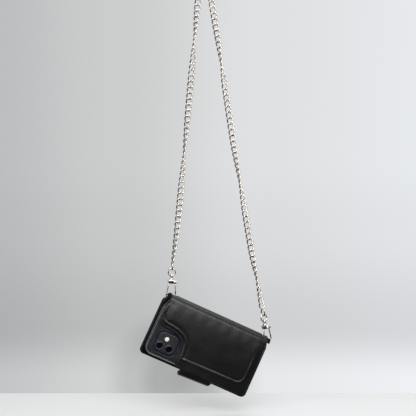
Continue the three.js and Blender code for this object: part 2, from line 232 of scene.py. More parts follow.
def leather_material(name, dark, light, rough_low, rough_high):
    shader = Shader(name, IOR=1.48)
    mottle = shader.noise(38, 5, 0.6)
    shader.vary("Base Color", mottle, dark, light)
    smears = shader.noise(60, 6, 0.62, stretch=(0.55, 1.0, 1.0))
    shader.vary("Roughness", smears, rough_low, rough_high, end=0.72)
    grain = shader.cells(1500)
    pores = shader.noise(3200, 2, 0.5)
    creases = shader.noise(160, 5, 0.6)
    return shader.bump(((grain, 0.22, 0.00006), (pores, 0.18, 0.00004), (creases, 0.25, 0.00018)))


def edge_paint_material():
    shader = Shader("edge_paint", IOR=1.5)
    wear = shader.noise(400, 3)
    shader.vary("Base Color", wear, (0.012, 0.011, 0.011), (0.03, 0.028, 0.027), start=0.35)
    shader.vary("Roughness", wear, 0.34, 0.5)
    return shader.bump(((shader.noise(1400, 2), 0.3, 0.00005),))


def thread_material():
    shader = Shader("thread", IOR=1.5)
    twist = shader.node("ShaderNodeTexWave", bands_direction="DIAGONAL")
    twist.inputs["Scale"].default_value = 900
    twist.inputs["Distortion"].default_value = 1.0
    shader.links.new(shader.coordinates, twist.inputs["Vector"])
    colour = shader.ramp(twist.outputs["Fac"], ((0.2, (0.003, 0.003, 0.003)), (0.8, (0.009, 0.009, 0.009))))
    shader.feed("Base Color", colour)
    shader.vary("Roughness", twist.outputs["Fac"], 0.85, 0.7, start=0.2, end=0.8)
    return shader.bump(((twist.outputs["Fac"], 0.5, 0.00008),))


def lining_material():
    shader = Shader("lining_fabric", Specular_IOR_Level=0.12)
    nap = shader.noise(2600, 3)
    shader.vary("Base Color", nap, (0.002, 0.002, 0.002), (0.006, 0.006, 0.007))
    shader.vary("Roughness", shader.noise(90, 3), 0.8, 0.95)
    return shader.bump(((nap, 0.5, 0.00010),))


def board_material():
    shader = Shader("fibre_board", IOR=1.4)
    fibres = shader.noise(900, 5, 0.7, stretch=(0.3, 1, 1))
    shader.vary("Base Color", fibres, (0.10, 0.085, 0.07), (0.2, 0.17, 0.14))
    shader.vary("Roughness", fibres, 0.8, 0.95)
    return shader.bump(((fibres, 0.4, 0.0001),))


def rubber_material():
    shader = Shader("shell_rubber", IOR=1.5, Specular_IOR_Level=0.45)
    film = shader.noise(120, 4)
    shader.vary("Base Color", film, (0.009, 0.010, 0.013), (0.015, 0.016, 0.021))
    shader.vary("Roughness", film, 0.32, 0.44)
    return shader.bump(((shader.noise(2400, 2), 0.15, 0.00004),))


def painted_rim_highlight_material():
    # Lighter grey than the rubber: a painted highlight along the shell's rolled rim.
    shader = Shader("shell_rim_painted_highlight", IOR=1.5)
    film = shader.noise(200, 3)
    shader.vary("Base Color", film, (0.075, 0.077, 0.082), (0.105, 0.107, 0.112))
    shader.vary("Roughness", film, 0.36, 0.46)
    return shader.bump(((shader.noise(2400, 2), 0.1, 0.00003),))


def metal_material(name, colour, rough_low, rough_high, scratch=0.1):
    shader = Shader(name, Metallic=1.0)
    patches = shader.noise(240, 4)
    darker = tuple(c * 0.93 for c in colour)
    shader.vary("Base Color", patches, darker, colour)
    shader.vary("Roughness", patches, rough_low, rough_high)
    return shader.bump(((shader.noise(1500, 4, stretch=(1, 1, 0.2)), scratch, 0.00003),))


def glass_material(name, colour, roughness, coat=0.0):
    shader = Shader(name, IOR=1.52, Coat_Weight=coat)
    smudges = shader.noise(70, 4)
    lighter = tuple(c * 1.5 + 0.001 for c in colour)
    shader.vary("Base Color", smudges, colour, lighter, end=0.75)
    shader.vary("Roughness", smudges, roughness, roughness + 0.05, start=0.35)
    return shader.bump(((shader.noise(600, 2), 0.02, 0.00002),))


def painted_glow_flash_material():
    # The weak warm emission is painted glow: the flash window shines though no lamp is lit in it.
    shader = Shader("flash_window", IOR=1.5, Subsurface_Weight=0.2, Emission_Color=(1.0, 0.93, 0.88, 1),
                    Emission_Strength=0.18)
    facets = shader.cells(1500)
    shader.vary("Base Color", facets, (0.75, 0.68, 0.62), (0.95, 0.9, 0.86), start=0.0, end=0.5)
    shader.vary("Roughness", facets, 0.35, 0.22, start=0.0, end=0.5)
    return shader.bump(((facets, 0.4, 0.0002),))


LEATHER_LOOK = leather_material("black_leather", (0.0055, 0.005, 0.0054), (0.009, 0.008, 0.0088), 0.31, 0.41)
POCKET_LOOK = leather_material("pocket_leather", (0.009, 0.008, 0.009), (0.015, 0.013, 0.014), 0.48, 0.62)
EDGE_LOOK = edge_paint_material()
THREAD_LOOK = thread_material()
LINING_LOOK = lining_material()
BOARD_LOOK = board_material()
RUBBER_LOOK = rubber_material()
# The shell rim's lighter grey stands in for light: a painted highlight.
RIM_PAINTED_HIGHLIGHT_LOOK = painted_rim_highlight_material()
CHAIN_LOOK = metal_material("chain_silver", (0.72, 0.69, 0.64), 0.14, 0.24)
CLASP_LOOK = metal_material("clasp_silver", (0.76, 0.73, 0.68), 0.12, 0.22, 0.05)
STEEL_LOOK = metal_material("spring_steel", (0.50, 0.50, 0.52), 0.22, 0.34, 0.2)
MAGNET_LOOK = metal_material("magnet", (0.40, 0.41, 0.43), 0.28, 0.40, 0.2)
PHONE_METAL_LOOK = metal_material("phone_metal", (0.030, 0.034, 0.046), 0.30, 0.40)
PHONE_GLASS_LOOK = glass_material("phone_glass", (0.010, 0.013, 0.024), 0.22, 0.3)
SCREEN_LOOK = glass_material("phone_screen", (0.003, 0.003, 0.004), 0.05, 0.5)
ISLAND_LOOK = glass_material("island_glass", (0.011, 0.0115, 0.0135), 0.38)
LENS_RING_LOOK = glass_material("lens_rim", (0.022, 0.023, 0.026), 0.34)
LENS_LOOK = glass_material("lens_glass", (0.0015, 0.002, 0.006), 0.03, 1.0)
# The flash window's faint emission is painted glow.
FLASH_PAINTED_GLOW_LOOK = painted_glow_flash_material()


# ---------------------------------------------------------------- mesh helpers
def add_object(name, mesh, looks, smooth=True):
    made = bpy.data.objects.new(name, mesh)
    for look in looks:
        mesh.materials.append(look)
    bpy.context.scene.collection.objects.link(made)
    if smooth:
        mesh.polygons.foreach_set("use_smooth", [True] * len(mesh.polygons))
    mesh.update()
    return made


def build(name, vertices, faces, look, place=None, sharp=None, face_looks=None, looks=None):
    """A mesh object from points in millimetres. sharp is the angle above which edges stay hard."""
    mesh = bpy.data.meshes.new(name)
    mesh.from_pydata([tuple(v) for v in vertices], [], [tuple(f) for f in faces])
    if face_looks is not None:
        mesh.polygons.foreach_set("material_index", face_looks)
    mesh.transform(WALLET if place is None else place)
    made = add_object(name, mesh, looks or [look])
    if sharp is not None:
        mesh.set_sharp_from_angle(angle=math.radians(sharp))
    return made


def merged(parts):
    """Joins (vertices, faces) pairs into one."""
    vertices, faces, start = [], [], 0
    for part_vertices, part_faces in parts:
        vertices.extend(part_vertices)
        faces.extend(tuple(i + start for i in face) for face in part_faces)
        start += len(part_vertices)
    return vertices, faces


def wire(points, radius, sides=14, closed=False, taper=None):
    """Round wire along points, with frames carried along it so that it doesn't twist."""
    points = [Vector(p) for p in points]
    count = len(points)
    tangents = []
    for i in range(count):
        before = points[(i - 1) % count] if closed else points[max(i - 1, 0)]
        after = points[(i + 1) % count] if closed else points[min(i + 1, count - 1)]
        tangents.append((after - before).normalized())
    guess = Vector((0, 1, 0)) if abs(tangents[0].y) < 0.9 else Vector((1, 0, 0))
    normal = (guess - tangents[0] * guess.dot(tangents[0])).normalized()
    vertices, faces = [], []
    for i, (point, tangent) in enumerate(zip(points, tangents)):
        normal = (normal - tangent * normal.dot(tangent)).normalized()
        side = tangent.cross(normal)
        size = radius * (taper[i] if taper is not None else 1)
        for k in range(sides):
            angle = 2 * math.pi * k / sides
            vertices.append(point + (normal * math.cos(angle) + side * math.sin(angle)) * size)
    for i in range(count if closed else count - 1):
        for k in range(sides):
            a, b = i * sides + k, i * sides + (k + 1) % sides
            c, d = ((i + 1) % count) * sides + (k + 1) % sides, ((i + 1) % count) * sides + k
            faces.append((a, b, c, d))
    if not closed:
        faces.append(tuple(reversed(range(sides))))
        faces.append(tuple(range((count - 1) * sides, count * sides)))
    return vertices, faces


def round_ends(points, radius, steps=4):
    """The wire's points with extra ones at both ends, and the sizes that round those ends off."""
    points = [Vector(p) for p in points]
    head = (points[0] - points[1]).normalized()
    tail = (points[-1] - points[-2]).normalized()
    turns = [math.pi / 2 * k / steps for k in range(steps, 0, -1)]
    start = [points[0] + head * radius * math.sin(t) for t in turns]
    end = [points[-1] + tail * radius * math.sin(t) for t in reversed(turns)]
    sizes = [max(math.cos(t), 0.05) for t in turns]
    return start + points + end, sizes + [1] * len(points) + sizes[::-1]


def lathe(profile, segments=32):
    """Turns [(radius, height)] about Z. The profile starts and ends on the axis or closes on itself."""
    on_axis = profile[0][0] == 0
    vertices, faces = [], []
    inner = profile[1:-1] if on_axis else profile
    for radius, height in inner:
        for k in range(segments):
            angle = 2 * math.pi * k / segments
            vertices.append((radius * math.cos(angle), radius * math.sin(angle), height))
    rings = len(inner)
    for i in range(rings - 1 if on_axis else rings):
        for k in range(segments):
            j, m = (i + 1) % rings, (k + 1) % segments
            faces.append((i * segments + k, i * segments + m, j * segments + m, j * segments + k))
    if on_axis:
        low, high = len(vertices), len(vertices) + 1
        vertices.extend([(0, 0, profile[0][1]), (0, 0, profile[-1][1])])
        for k in range(segments):
            m = (k + 1) % segments
            faces.append((low, m, k))
            faces.append((high, (rings - 1) * segments + k, (rings - 1) * segments + m))
    return vertices, faces


def moved(part, matrix):
    vertices, faces = part
    return [matrix @ Vector(v) for v in vertices], faces


def round_box(low, high, radius, segments=3):
    """A box with rounded edges."""
    shape = bmesh.new()
    bmesh.ops.create_cube(shape, size=1)
    size = Vector(high) - Vector(low)
    middle = (Vector(high) + Vector(low)) / 2
    bmesh.ops.transform(shape, matrix=Matrix.Translation(middle) @ Matrix.Diagonal((*size, 1)),
                        verts=shape.verts)
    bmesh.ops.bevel(shape, geom=list(shape.edges), offset=radius, segments=segments, profile=0.5,
                    affect="EDGES")
    shape.verts.index_update()
    vertices = [v.co.copy() for v in shape.verts]
    faces = [tuple(v.index for v in f.verts) for f in shape.faces]
    shape.free()
    return vertices, faces


# ---------------------------------------------------------------- flat outlines
def bezier(*controls, steps=14):
    """A quadratic or cubic curve, without its last point."""
    t = np.linspace(0, 1, steps + 1)[:-1, None]
    points = [np.array(c, float) for c in controls]
    while len(points) > 1:
        points = [a * (1 - t) + b * t for a, b in zip(points, points[1:])]
    return points[0]


def arc(x, z, radius, start, end, steps=10):
    """A round stretch of an outline, in degrees, without its last point."""
    angle = np.radians(np.linspace(start, end, steps + 1)[:-1])
    return np.stack([x + radius * np.cos(angle), z + radius * np.sin(angle)], 1)


def resample(points, spacing, closed=True):
    """Points spaced evenly along a line."""
    points = np.asarray(points, float)
    if closed:
        points = np.vstack([points, points[:1]])
    lengths = np.r_[0, np.cumsum(np.linalg.norm(np.diff(points, axis=0), axis=1))]
    count = max(int(round(lengths[-1] / spacing)), 3)
    at = np.linspace(0, lengths[-1], count + 1)
    made = np.stack([np.interp(at, lengths, points[:, k]) for k in range(points.shape[1])], 1)
    return made[:-1] if closed else made


def rounded_rectangle(left, right, bottom, top, radius, steps=12):
    return np.vstack([
        arc(left + radius, bottom + radius, radius, 180, 270, steps), [(left + radius, bottom)],
        arc(right - radius, bottom + radius, radius, 270, 360, steps), [(right, bottom + radius)],
        arc(right - radius, top - radius, radius, 0, 90, steps), [(right - radius, top)],
        arc(left + radius, top - radius, radius, 90, 180, steps), [(left, top - radius)],
    ])


def offset(outline, distance):
    """Moves a closed anticlockwise outline inwards by distance."""
    before, after = np.roll(outline, 1, 0), np.roll(outline, -1, 0)
    tangent = after - before
    tangent /= np.maximum(np.linalg.norm(tangent, axis=1, keepdims=True), 1e-9)
    inward = np.stack([-tangent[:, 1], tangent[:, 0]], 1)
    return outline + inward * distance


def inside(points, outline):
    """Which points are inside a closed outline."""
    result = np.zeros(len(points), bool)
    x, z = points[:, 0], points[:, 1]
    for (x0, z0), (x1, z1) in zip(outline, np.roll(outline, -1, 0)):
        crosses = (z0 > z) != (z1 > z)
        with np.errstate(divide="ignore", invalid="ignore"):
            at = (x1 - x0) * (z - z0) / (z1 - z0) + x0
        result ^= crosses & (x < at)
    return result


def distance_to(points, line, closed=False):
    """Distance from each point to a line of segments."""
    line = np.asarray(line, float)
    ends = np.roll(line, -1, 0) if closed else line[1:]
    starts = line if closed else line[:-1]
    best = np.full(len(points), 1e9)
    for a, b in zip(starts, ends):
        d = b - a
        t = np.clip(((points - a) @ d) / max(d @ d, 1e-12), 0, 1)
        best = np.minimum(best, np.linalg.norm(points - a - t[:, None] * d, axis=1))
    return best


def smoothstep(low, high, value):
    t = np.clip((value - low) / (high - low), 0, 1)
    return t * t * (3 - 2 * t)


EDGE_STEPS = 8                           # facets round a sheet's rounded edge


def inner_grid(loops, spacing):
    """A triangular grid of points inside the first loop and outside the others, clear of them all."""
    low, high = loops[0].min(0), loops[0].max(0)
    rows = []
    for i, height in enumerate(np.arange(low[1], high[1], spacing * 0.866)):
        across_row = np.arange(low[0] + (i % 2) * spacing / 2, high[0], spacing)
        rows.append(np.stack([across_row, np.full(len(across_row), height)], 1))
    grid = np.vstack(rows)
    keep = inside(grid, loops[0])
    for hole in loops[1:]:
        keep &= ~inside(grid, hole)
    for loop in loops:
        keep &= distance_to(grid, loop, closed=True) > spacing * 0.45
    return grid[keep]


def triangulated(loops, grid):
    """Triangles between the loops and the grid's points, numbered in that order, all turned the same way."""
    points = np.vstack([*loops, grid])
    edges, start = [], 0
    for loop in loops:
        edges += [(start + k, start + (k + 1) % len(loop)) for k in range(len(loop))]
        start += len(loop)
    found = delaunay_2d_cdt([Vector(p) for p in points], edges, [], 0, 1e-7)
    origin = [ids[0] for ids in found[3]]
    triangles = np.array([[origin[i] for i in f] for f in found[2] if len(f) == 3])
    centres = points[triangles].mean(1)
    good = inside(centres, loops[0])
    for hole in loops[1:]:
        good &= ~inside(centres, hole)
    triangles = triangles[good]
    a, b, c = (points[triangles[:, k]] for k in range(3))
    turned = np.cross(b - a, c - a) < 0
    triangles[turned] = triangles[turned][:, ::-1]
    return triangles


def sheet_solid(outline, thickness, edge, spacing, surface, holes=(), relief=None):
    """A sheet with rounded edges. surface(points, height) gives millimetre places; relief adds height.

    Returns vertices, faces and, for each face, 1 on the cut edges and 0 on the two broad faces.
    """
    loops = [np.asarray(outline, float)] + [np.asarray(h, float)[::-1] for h in holes]
    vertices, faces, tops, bottoms, flat_loops = [], [], [], [], []

    def add(points, height):
        lift = 0 if relief is None else relief(points) * smoothstep(0, thickness, height)
        start = len(vertices)
        vertices.extend(surface(points, height + lift))
        return range(start, len(vertices))

    for loop in loops:
        count = len(loop)
        previous = None
        for angle in np.radians(np.linspace(-90, 90, EDGE_STEPS + 1)):
            inset = offset(loop, edge * (1 - math.cos(angle)))
            middle = edge if angle <= 0 else thickness - edge
            rows = [add(inset, np.full(count, middle + edge * math.sin(angle)))]
            if angle == 0:
                rows.append(add(inset, np.full(count, thickness - edge)))
            for row in rows:
                if previous is None:
                    bottoms.extend(row)
                else:
                    for k in range(count):
                        m = (k + 1) % count
                        faces.append((previous[k], previous[m], row[m], row[k]))
                previous = row
        tops.extend(previous)
        flat_loops.append(inset)
    kinds = [1] * len(faces)
    grid = inner_grid(flat_loops, spacing)
    tops.extend(add(grid, np.full(len(grid), thickness)))
    bottoms.extend(add(grid, np.full(len(grid), 0.0)))
    for triangle in triangulated(flat_loops, grid):
        faces.append(tuple(tops[i] for i in triangle))
        faces.append(tuple(bottoms[i] for i in triangle[::-1]))
        kinds += [0, 0]
    return vertices, faces, kinds


def stand(inner_y, direction):
    """A surface that stands in the XZ plane, growing from inner_y along Y."""
    def surface(points, height):
        height = np.broadcast_to(height, len(points))
        return [(p[0], inner_y + direction * h, p[1]) for p, h in zip(points, height)]
    return surface


def standing_sheet(name, outline, inner_y, direction, thickness, edge, spacing, look, edge_look=None,
                   relief=None):
    """A flat sheet that stands in the XZ plane. Its outline is anticlockwise seen from -Y."""
    surface = stand(inner_y, direction)
    vertices, faces, kinds = sheet_solid(outline, thickness, edge, spacing, surface, relief=relief)
    if direction > 0:
        faces = [face[::-1] for face in faces]
    return build(name, vertices, faces, look, face_looks=kinds, looks=[look, edge_look or look], sharp=50)


# ---------------------------------------------------------------- chain
LEFT_RUN = [
    (-4.4, -9.4), (-6.0, -40), (-8.6, -70), (-11.2, -100), (-13.9, -130), (-16.7, -160), (-19.4, -190),
    (-22.2, -220), (-25.0, -250), (-27.7, -280), (-30.4, -310), (-33.4, -340), (-36.9, -370),
    (-41.0, -398.9),
]
RIGHT_RUN = [
    (5.4, -9.4), (10.1, -40), (15.2, -70), (20.2, -100), (24.9, -130), (29.4, -160), (34.0, -190),
    (38.6, -220), (43.4, -250), (48.5, -280), (53.7, -310), (58.8, -340), (63.9, -370),
    (69.3, -400), (75.3, -430), (81.5, -462.4),
]
# How far the flat chain has turned about its own length at some heights, in degrees.
# At 0 it shows its broad face to the camera.
LEFT_TURNS = ((-9, -60), (-48, 0), (-95, 90), (-148, 180), (-205, 215), (-249, 270), (-305, 360),
              (-350, 400), (-397, 450))
RIGHT_TURNS = ((-9, -20), (-62, 0), (-95, 40), (-128, 90), (-160, 165), (-230, 195),
               (-285, 270), (-330, 345), (-380, 370), (-417, 450), (-460, 520))


def curb_link():
    """One curb link: an oval of round wire, twisted about the chain's length so that links lie flat."""
    half_width = (CHAIN_WIDTH - LINK_WIRE) / 2
    half_length = (LINK_PITCH + LINK_WIRE) / 2
    end_twist = math.radians(40)
    points = []
    steps = 36
    for k in range(steps):
        angle = 2 * math.pi * k / steps
        x = half_width * math.copysign(abs(math.cos(angle)) ** 0.8, math.cos(angle))
        z = half_length * math.copysign(abs(math.sin(angle)) ** 0.9, math.sin(angle))
        twist = end_twist * z / half_length
        points.append((x * math.cos(twist), x * math.sin(twist), z))
    return wire(points, LINK_WIRE / 2, 12, closed=True)


def smooth_run(run):
    """A smooth line through a run's points, in millimetres."""
    points = np.array([(x, 0.0, z) for x, z in run])
    ends = np.vstack([2 * points[0] - points[1], points, 2 * points[-1] - points[-2]])
    made = []
    for a, b, c, d in zip(ends, ends[1:], ends[2:], ends[3:]):
        for t in np.linspace(0, 1, 8)[:-1]:
            made.append(0.5 * (2 * b + (c - a) * t + (2 * a - 5 * b + 4 * c - d) * t ** 2
                               + (3 * b - a - 3 * c + d) * t ** 3))
    made.append(points[-1])
    return np.array(made)


def chain_run(side, run, turns):
    """Every link of one hanging run. The first and last links reach the hanging link and the end link."""
    line = smooth_run(run)
    lengths = np.r_[0, np.cumsum(np.linalg.norm(np.diff(line, axis=0), axis=1))]
    length = lengths[-1]
    count = int(round((length + 0.3 * LINK_PITCH) / LINK_PITCH))
    first = (length - (count - 1) * LINK_PITCH) / 2
    link_vertices, link_faces = curb_link()
    heights, angles = zip(*sorted(turns))
    parts = []
    for k in range(count):
        along = first + k * LINK_PITCH
        middle = Vector([np.interp(along, lengths, line[:, i]) for i in range(3)])
        ahead = Vector([np.interp(along + 1, lengths, line[:, i]) for i in range(3)])
        behind = Vector([np.interp(along - 1, lengths, line[:, i]) for i in range(3)])
        down = (ahead - behind).normalized()
        turn = math.radians(np.interp(middle.z, heights, angles))
        base = Vector((0, 1, 0)).cross(down).normalized()
        front = down.cross(base)
        broad = base * math.cos(turn) + front * math.sin(turn)
        place = Matrix.Translation(middle) @ frame_matrix(broad, (-down).cross(broad), (0, 0, 0))
        parts.append(([place @ v for v in link_vertices], link_faces))
    vertices, faces = merged(parts)
    made = build(f"chain_links_{side}", vertices, faces, CHAIN_LOOK, place=Matrix.Scale(MM, 4))
    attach(made, "chain")
    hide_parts(f"chain_{side}")


def stadium(half_width, half_length, steps=40):
    """The middle line of an oval link in XZ, its long way along Z."""
    straight = half_length - half_width
    points = []
    for k in range(steps):
        angle = 2 * math.pi * (k + 0.5) / steps
        points.append((half_width * math.cos(angle), 0,
                       half_width * math.sin(angle) + math.copysign(straight, math.sin(angle))))
    return points


def oval_link(width, length, wire_diameter):
    middle_line = stadium((width - wire_diameter) / 2, (length - wire_diameter) / 2)
    return wire(middle_line, wire_diameter / 2, 16, closed=True)


def finished(made, body, nodes=()):
    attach(made, body)
    if nodes:
        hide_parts(*nodes)
    return made


def top_link():
    """The link that hangs on the hook. It lies across, so that both runs leave from its ends."""
    low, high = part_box("top_link")
    middle = (low + high) / 2
    turn = Matrix.Translation(middle) @ Matrix.Rotation(math.pi / 2, 4, "Y") @ Matrix.Scale(MM, 4)
    vertices, faces = oval_link(9.0, 15.0, LINK_WIRE)
    finished(build("hanging_link", vertices, faces, CHAIN_LOOK, place=turn), "chain", ["top_link"])


make_camera()
chain_run("left", LEFT_RUN, LEFT_TURNS)
chain_run("right", RIGHT_RUN, RIGHT_TURNS)
top_link()


# ---------------------------------------------------------------- clasps
WIRE = 1.7
BAR_HALF, TOP_HALF, BEND = 6.4, 4.0, 2.0
BLOCK_BOTTOM, BLOCK_TOP, BLOCK_HALF_WIDTH, BLOCK_HALF_DEPTH = 17.0, 22.2, 4.0, 3.4
SWIVEL_X, GATE_X, GATE_Z, GATE_TIP = -1.2, 4.7, 18.8, 2.7
LUG_INNER, HUB_RADIUS, HUB_HALF = 2.0, 1.5, 0.8
EYE_Z, EYE_RADIUS, EYE_HOLE, EYE_HALF = 27.0, 3.1, 1.5, 1.5
RING_RADIUS, RING_STRAIGHT, RING_WIRE = 4.7, 0.2, 1.8
END_LINK_WIDTH, END_LINK_LENGTH = 8.4, 11.0
RING_MIDDLE = EYE_Z + 0.3 + RING_RADIUS + RING_STRAIGHT
RING_TOP = RING_MIDDLE + RING_RADIUS + RING_STRAIGHT - RING_WIRE / 2
END_LINK_MIDDLE = RING_TOP - 0.3 - LINK_WIRE + END_LINK_LENGTH / 2


def quarter(start, corner, end, steps=8):
    """A rounded corner from start to end."""
    return [Vector(p) for p in bezier(start, corner, end, steps=steps)] + [Vector(end)]


def frame_wire():
    """The bent wire: left leg, bottom bar and the upturned nose."""
    lean = (BAR_HALF - TOP_HALF) / BLOCK_BOTTOM
    left_low = (-BAR_HALF + BEND * lean, 0, BEND)
    points = [Vector((-TOP_HALF + lean, 0, BLOCK_BOTTOM + 1)),
              Vector((-TOP_HALF - 5 * lean, 0, BLOCK_BOTTOM - 6))]
    points += quarter(left_low, (-BAR_HALF, 0, 0), (-BAR_HALF + BEND, 0, 0))
    points += [Vector((x, 0, 0)) for x in (-2, 0, 2)]
    points += quarter((BAR_HALF - BEND, 0, 0), (BAR_HALF, 0, 0), (BAR_HALF - 0.2, 0, GATE_TIP - 0.6))
    lengthened, sizes = round_ends(points, WIRE / 2 * 0.6)
    return wire(lengthened, WIRE / 2, 16, taper=sizes)


def across(radius_profile, x, z):
    """A lathed part whose axis is along Y, at a place in the clasp."""
    return moved(lathe(radius_profile, 28),
                 Matrix.Translation((x, 0, z)) @ Matrix.Rotation(math.pi / 2, 4, "X"))


def drum(radius, half, bevel):
    """The profile of a solid drum with softened rims."""
    return [(0, -half), (radius - bevel, -half), (radius - bevel * 0.3, -half + bevel * 0.3),
            (radius, -half + bevel), (radius, half - bevel), (radius - bevel * 0.3, half - bevel * 0.3),
            (radius - bevel, half), (0, half)]


def tube_profile(outer, inner, low, high, bevel):
    """The closed profile of a ring with softened rims."""
    return [(inner, low + bevel), (inner + bevel, low), (outer - bevel, low), (outer, low + bevel),
            (outer, high - bevel), (outer - bevel, high), (inner + bevel, high), (inner, high - bevel)]


def clasp(side):
    place = CLASPS[side]
    left, right = SWIVEL_X - BLOCK_HALF_WIDTH, SWIVEL_X + BLOCK_HALF_WIDTH
    block = round_box((left, -BLOCK_HALF_DEPTH, BLOCK_BOTTOM), (right, BLOCK_HALF_DEPTH, BLOCK_TOP), 0.9, 4)
    lugs = []
    for sign in (-1, 1):
        near, far = sorted((sign * LUG_INNER, sign * BLOCK_HALF_DEPTH))
        lugs.append(round_box((right - 1.0, near, GATE_Z - 1.5), (GATE_X + 0.2, far, GATE_Z + 1.8), 0.35))
        ear = across(drum(HUB_RADIUS + 0.15, (far - near) / 2, 0.3), GATE_X, GATE_Z + 0.1)
        lugs.append(moved(ear, Matrix.Translation((0, (near + far) / 2, 0))))
    vertices, faces = merged([block, *lugs, frame_wire()])
    finished(build(f"frame_{side}", vertices, faces, CLASP_LOOK, place=place, sharp=55), "holder",
             [f"clasp_frame_{side}"])

    pin = across(drum(0.75, BLOCK_HALF_DEPTH + 0.3, 0.25), GATE_X, GATE_Z)
    finished(build(f"rivet_{side}", *pin, STEEL_LOOK, place=place, sharp=55), "holder", [f"gate_pin_{side}"])
    coil = [(1.15 * math.cos(a), HUB_HALF + 0.45 + 0.28 * a / math.pi / 2 - 0.1, 1.15 * math.sin(a))
            for a in np.linspace(0, 5 * math.pi, 60)]
    spring = moved(wire(coil, 0.17, 8), Matrix.Translation((GATE_X, 0, GATE_Z)))
    finished(build(f"torsion_spring_{side}", *spring, STEEL_LOOK, place=place), "holder",
             [f"gate_spring_{side}"])

    leg = [Vector((GATE_X, 0, GATE_Z - 0.8)), Vector((GATE_X + 0.35, 0, GATE_Z - 5)),
           Vector((BAR_HALF - 0.6, 0, 8)), Vector((BAR_HALF - 0.25, 0, GATE_TIP + 0.3))]
    lengthened, sizes = round_ends(leg, WIRE / 2 * 0.4)
    gate = merged([across(drum(HUB_RADIUS, HUB_HALF, 0.25), GATE_X, GATE_Z),
                   wire(lengthened, WIRE / 2, 16, taper=sizes)])
    finished(build(f"spring_gate_{side}", *gate, CLASP_LOOK, place=place, sharp=55), f"gate_{side}",
             [f"gate_{side}"])

    collar = [(0, BLOCK_TOP - 4.4), (1.9, BLOCK_TOP - 4.4), (1.9, BLOCK_TOP - 2.8), (1.05, BLOCK_TOP - 2.8),
              (1.05, BLOCK_TOP + 0.3), (2.8, BLOCK_TOP + 0.3), (3.05, BLOCK_TOP + 0.5),
              (3.05, BLOCK_TOP + 0.9),
              (2.7, BLOCK_TOP + 1.3), (1.9, BLOCK_TOP + 2.0), (1.6, BLOCK_TOP + 2.9), (0, BLOCK_TOP + 2.9)]
    post = moved(lathe(collar), Matrix.Translation((SWIVEL_X, 0, 0)))
    eye = moved(lathe(tube_profile(EYE_RADIUS, EYE_HOLE, -EYE_HALF, EYE_HALF, 0.5), 36),
                Matrix.Translation((SWIVEL_X, 0, EYE_Z)) @ Matrix.Rotation(math.pi / 2, 4, "Y"))
    finished(build(f"swivel_{side}", *merged([post, eye]), CLASP_LOOK, place=place, sharp=50),
             f"swivel_{side}",
             [f"swivel_eye_{side}"])

    ring = wire(stadium(RING_RADIUS, RING_RADIUS + RING_STRAIGHT), RING_WIRE / 2, 16, closed=True)
    ring = moved(ring, Matrix.Translation((SWIVEL_X, 0, RING_MIDDLE)))
    finished(build(f"ring_{side}", *ring, CLASP_LOOK, place=place), f"swivel_{side}", [f"jump_ring_{side}"])

    last = moved(oval_link(END_LINK_WIDTH, END_LINK_LENGTH, LINK_WIRE),
                 Matrix.Translation((SWIVEL_X, 0, END_LINK_MIDDLE)) @ Matrix.Rotation(math.pi / 2, 4, "Z"))
    finished(build(f"last_link_{side}", *last, CHAIN_LOOK, place=place), "chain", [f"end_link_{side}"])


for side in SIDES:
    clasp(side)


# ---------------------------------------------------------------- leather back, spine and strap, as one hide
# The hide is cut flat. Its first coordinate is X; its second is the way down from the front crease: over the
# spine, down the back panel and, at the strap, round the open edge.
def down_way(z):
    """Where a height on the back panel lies on the flat hide."""
    return ARCH + CREASE_Z - z


FOLD = down_way(STRAP_AXIS_Z)            # where the strap's bend starts
STRAP_THICKNESS = 1.2
STRAP_SAG, STRAP_SLANT = 1.2, 1.7        # the bend hangs lower at its left end and rises to the right


def strap_turn():
    """The strap's angle round its bend for each millimetre of way, from a fine walk along the ellipse."""
    last = 2 * math.pi - math.asin((STRAP_AXIS_Z - STRAP_END_Z) / STRAP_DROP)
    angle = np.linspace(math.pi, last, 200)
    walk = np.hypot(np.diff(HALF_THICKNESS * np.cos(angle)), np.diff(STRAP_DROP * np.sin(angle)))
    return np.r_[0, np.cumsum(walk)], angle


STRAP_WALK, STRAP_ANGLE = strap_turn()
STRAP_LENGTH = STRAP_WALK[-1]


def bend_hide(points, height):
    """Bends the flat hide over the spine and round the strap. Height is over the hide's inner face."""
    inner = HALF_THICKNESS - LEATHER
    height = np.broadcast_to(height, len(points))
    made = []
    for (x, way), h in zip(points, height):
        if way < ARCH:
            angle = way / HALF_THICKNESS
            radius = inner + h
            made.append((x, radius * math.cos(angle), CREASE_Z + radius * math.sin(angle)))
        elif way < FOLD:
            made.append((x, -(inner + h), CREASE_Z - (way - ARCH)))
        else:
            angle = np.interp(way - FOLD, STRAP_WALK, STRAP_ANGLE)
            depth = h - LEATHER * (1 - min((way - FOLD) / 4, 1) * (1 - STRAP_THICKNESS / LEATHER))
            drop = STRAP_DROP + STRAP_SAG - STRAP_SLANT * (x - STRAP_LEFT) / (STRAP_RIGHT - STRAP_LEFT)
            made.append((x, (HALF_THICKNESS + depth) * math.cos(angle),
                         STRAP_AXIS_Z + (drop + depth) * math.sin(angle)))
    return made


def s_curve():
    """The camera cut-away's edge, from the spine down to the strap, in X and Z."""
    return np.vstack([
        bezier((6.6, -10.2), (4.9, -12.2), (PANEL_LEFT, -16), steps=8),
        bezier((PANEL_LEFT, -16), (4.8, -26), (6.1, -33)),
        bezier((6.1, -33), (7.5, -42.6), (11.4, -44.4), (21, -44.6)),
        bezier((21, -44.6), (38, -45), (46.9, -51.5), (47.2, -66.2), steps=24),
        bezier((47.2, -66.2), (47.4, -74.2), (45.9, -77.4), (47.4, -81)),
        bezier((47.4, -81), (49.4, -84.4), (54, -85.4), (57, -86.6)),
    ])


def flat(outline):
    """From X and Z on the back panel to the flat hide."""
    outline = np.asarray(outline, float)
    return np.stack([outline[:, 0], down_way(outline[:, 1])], 1)


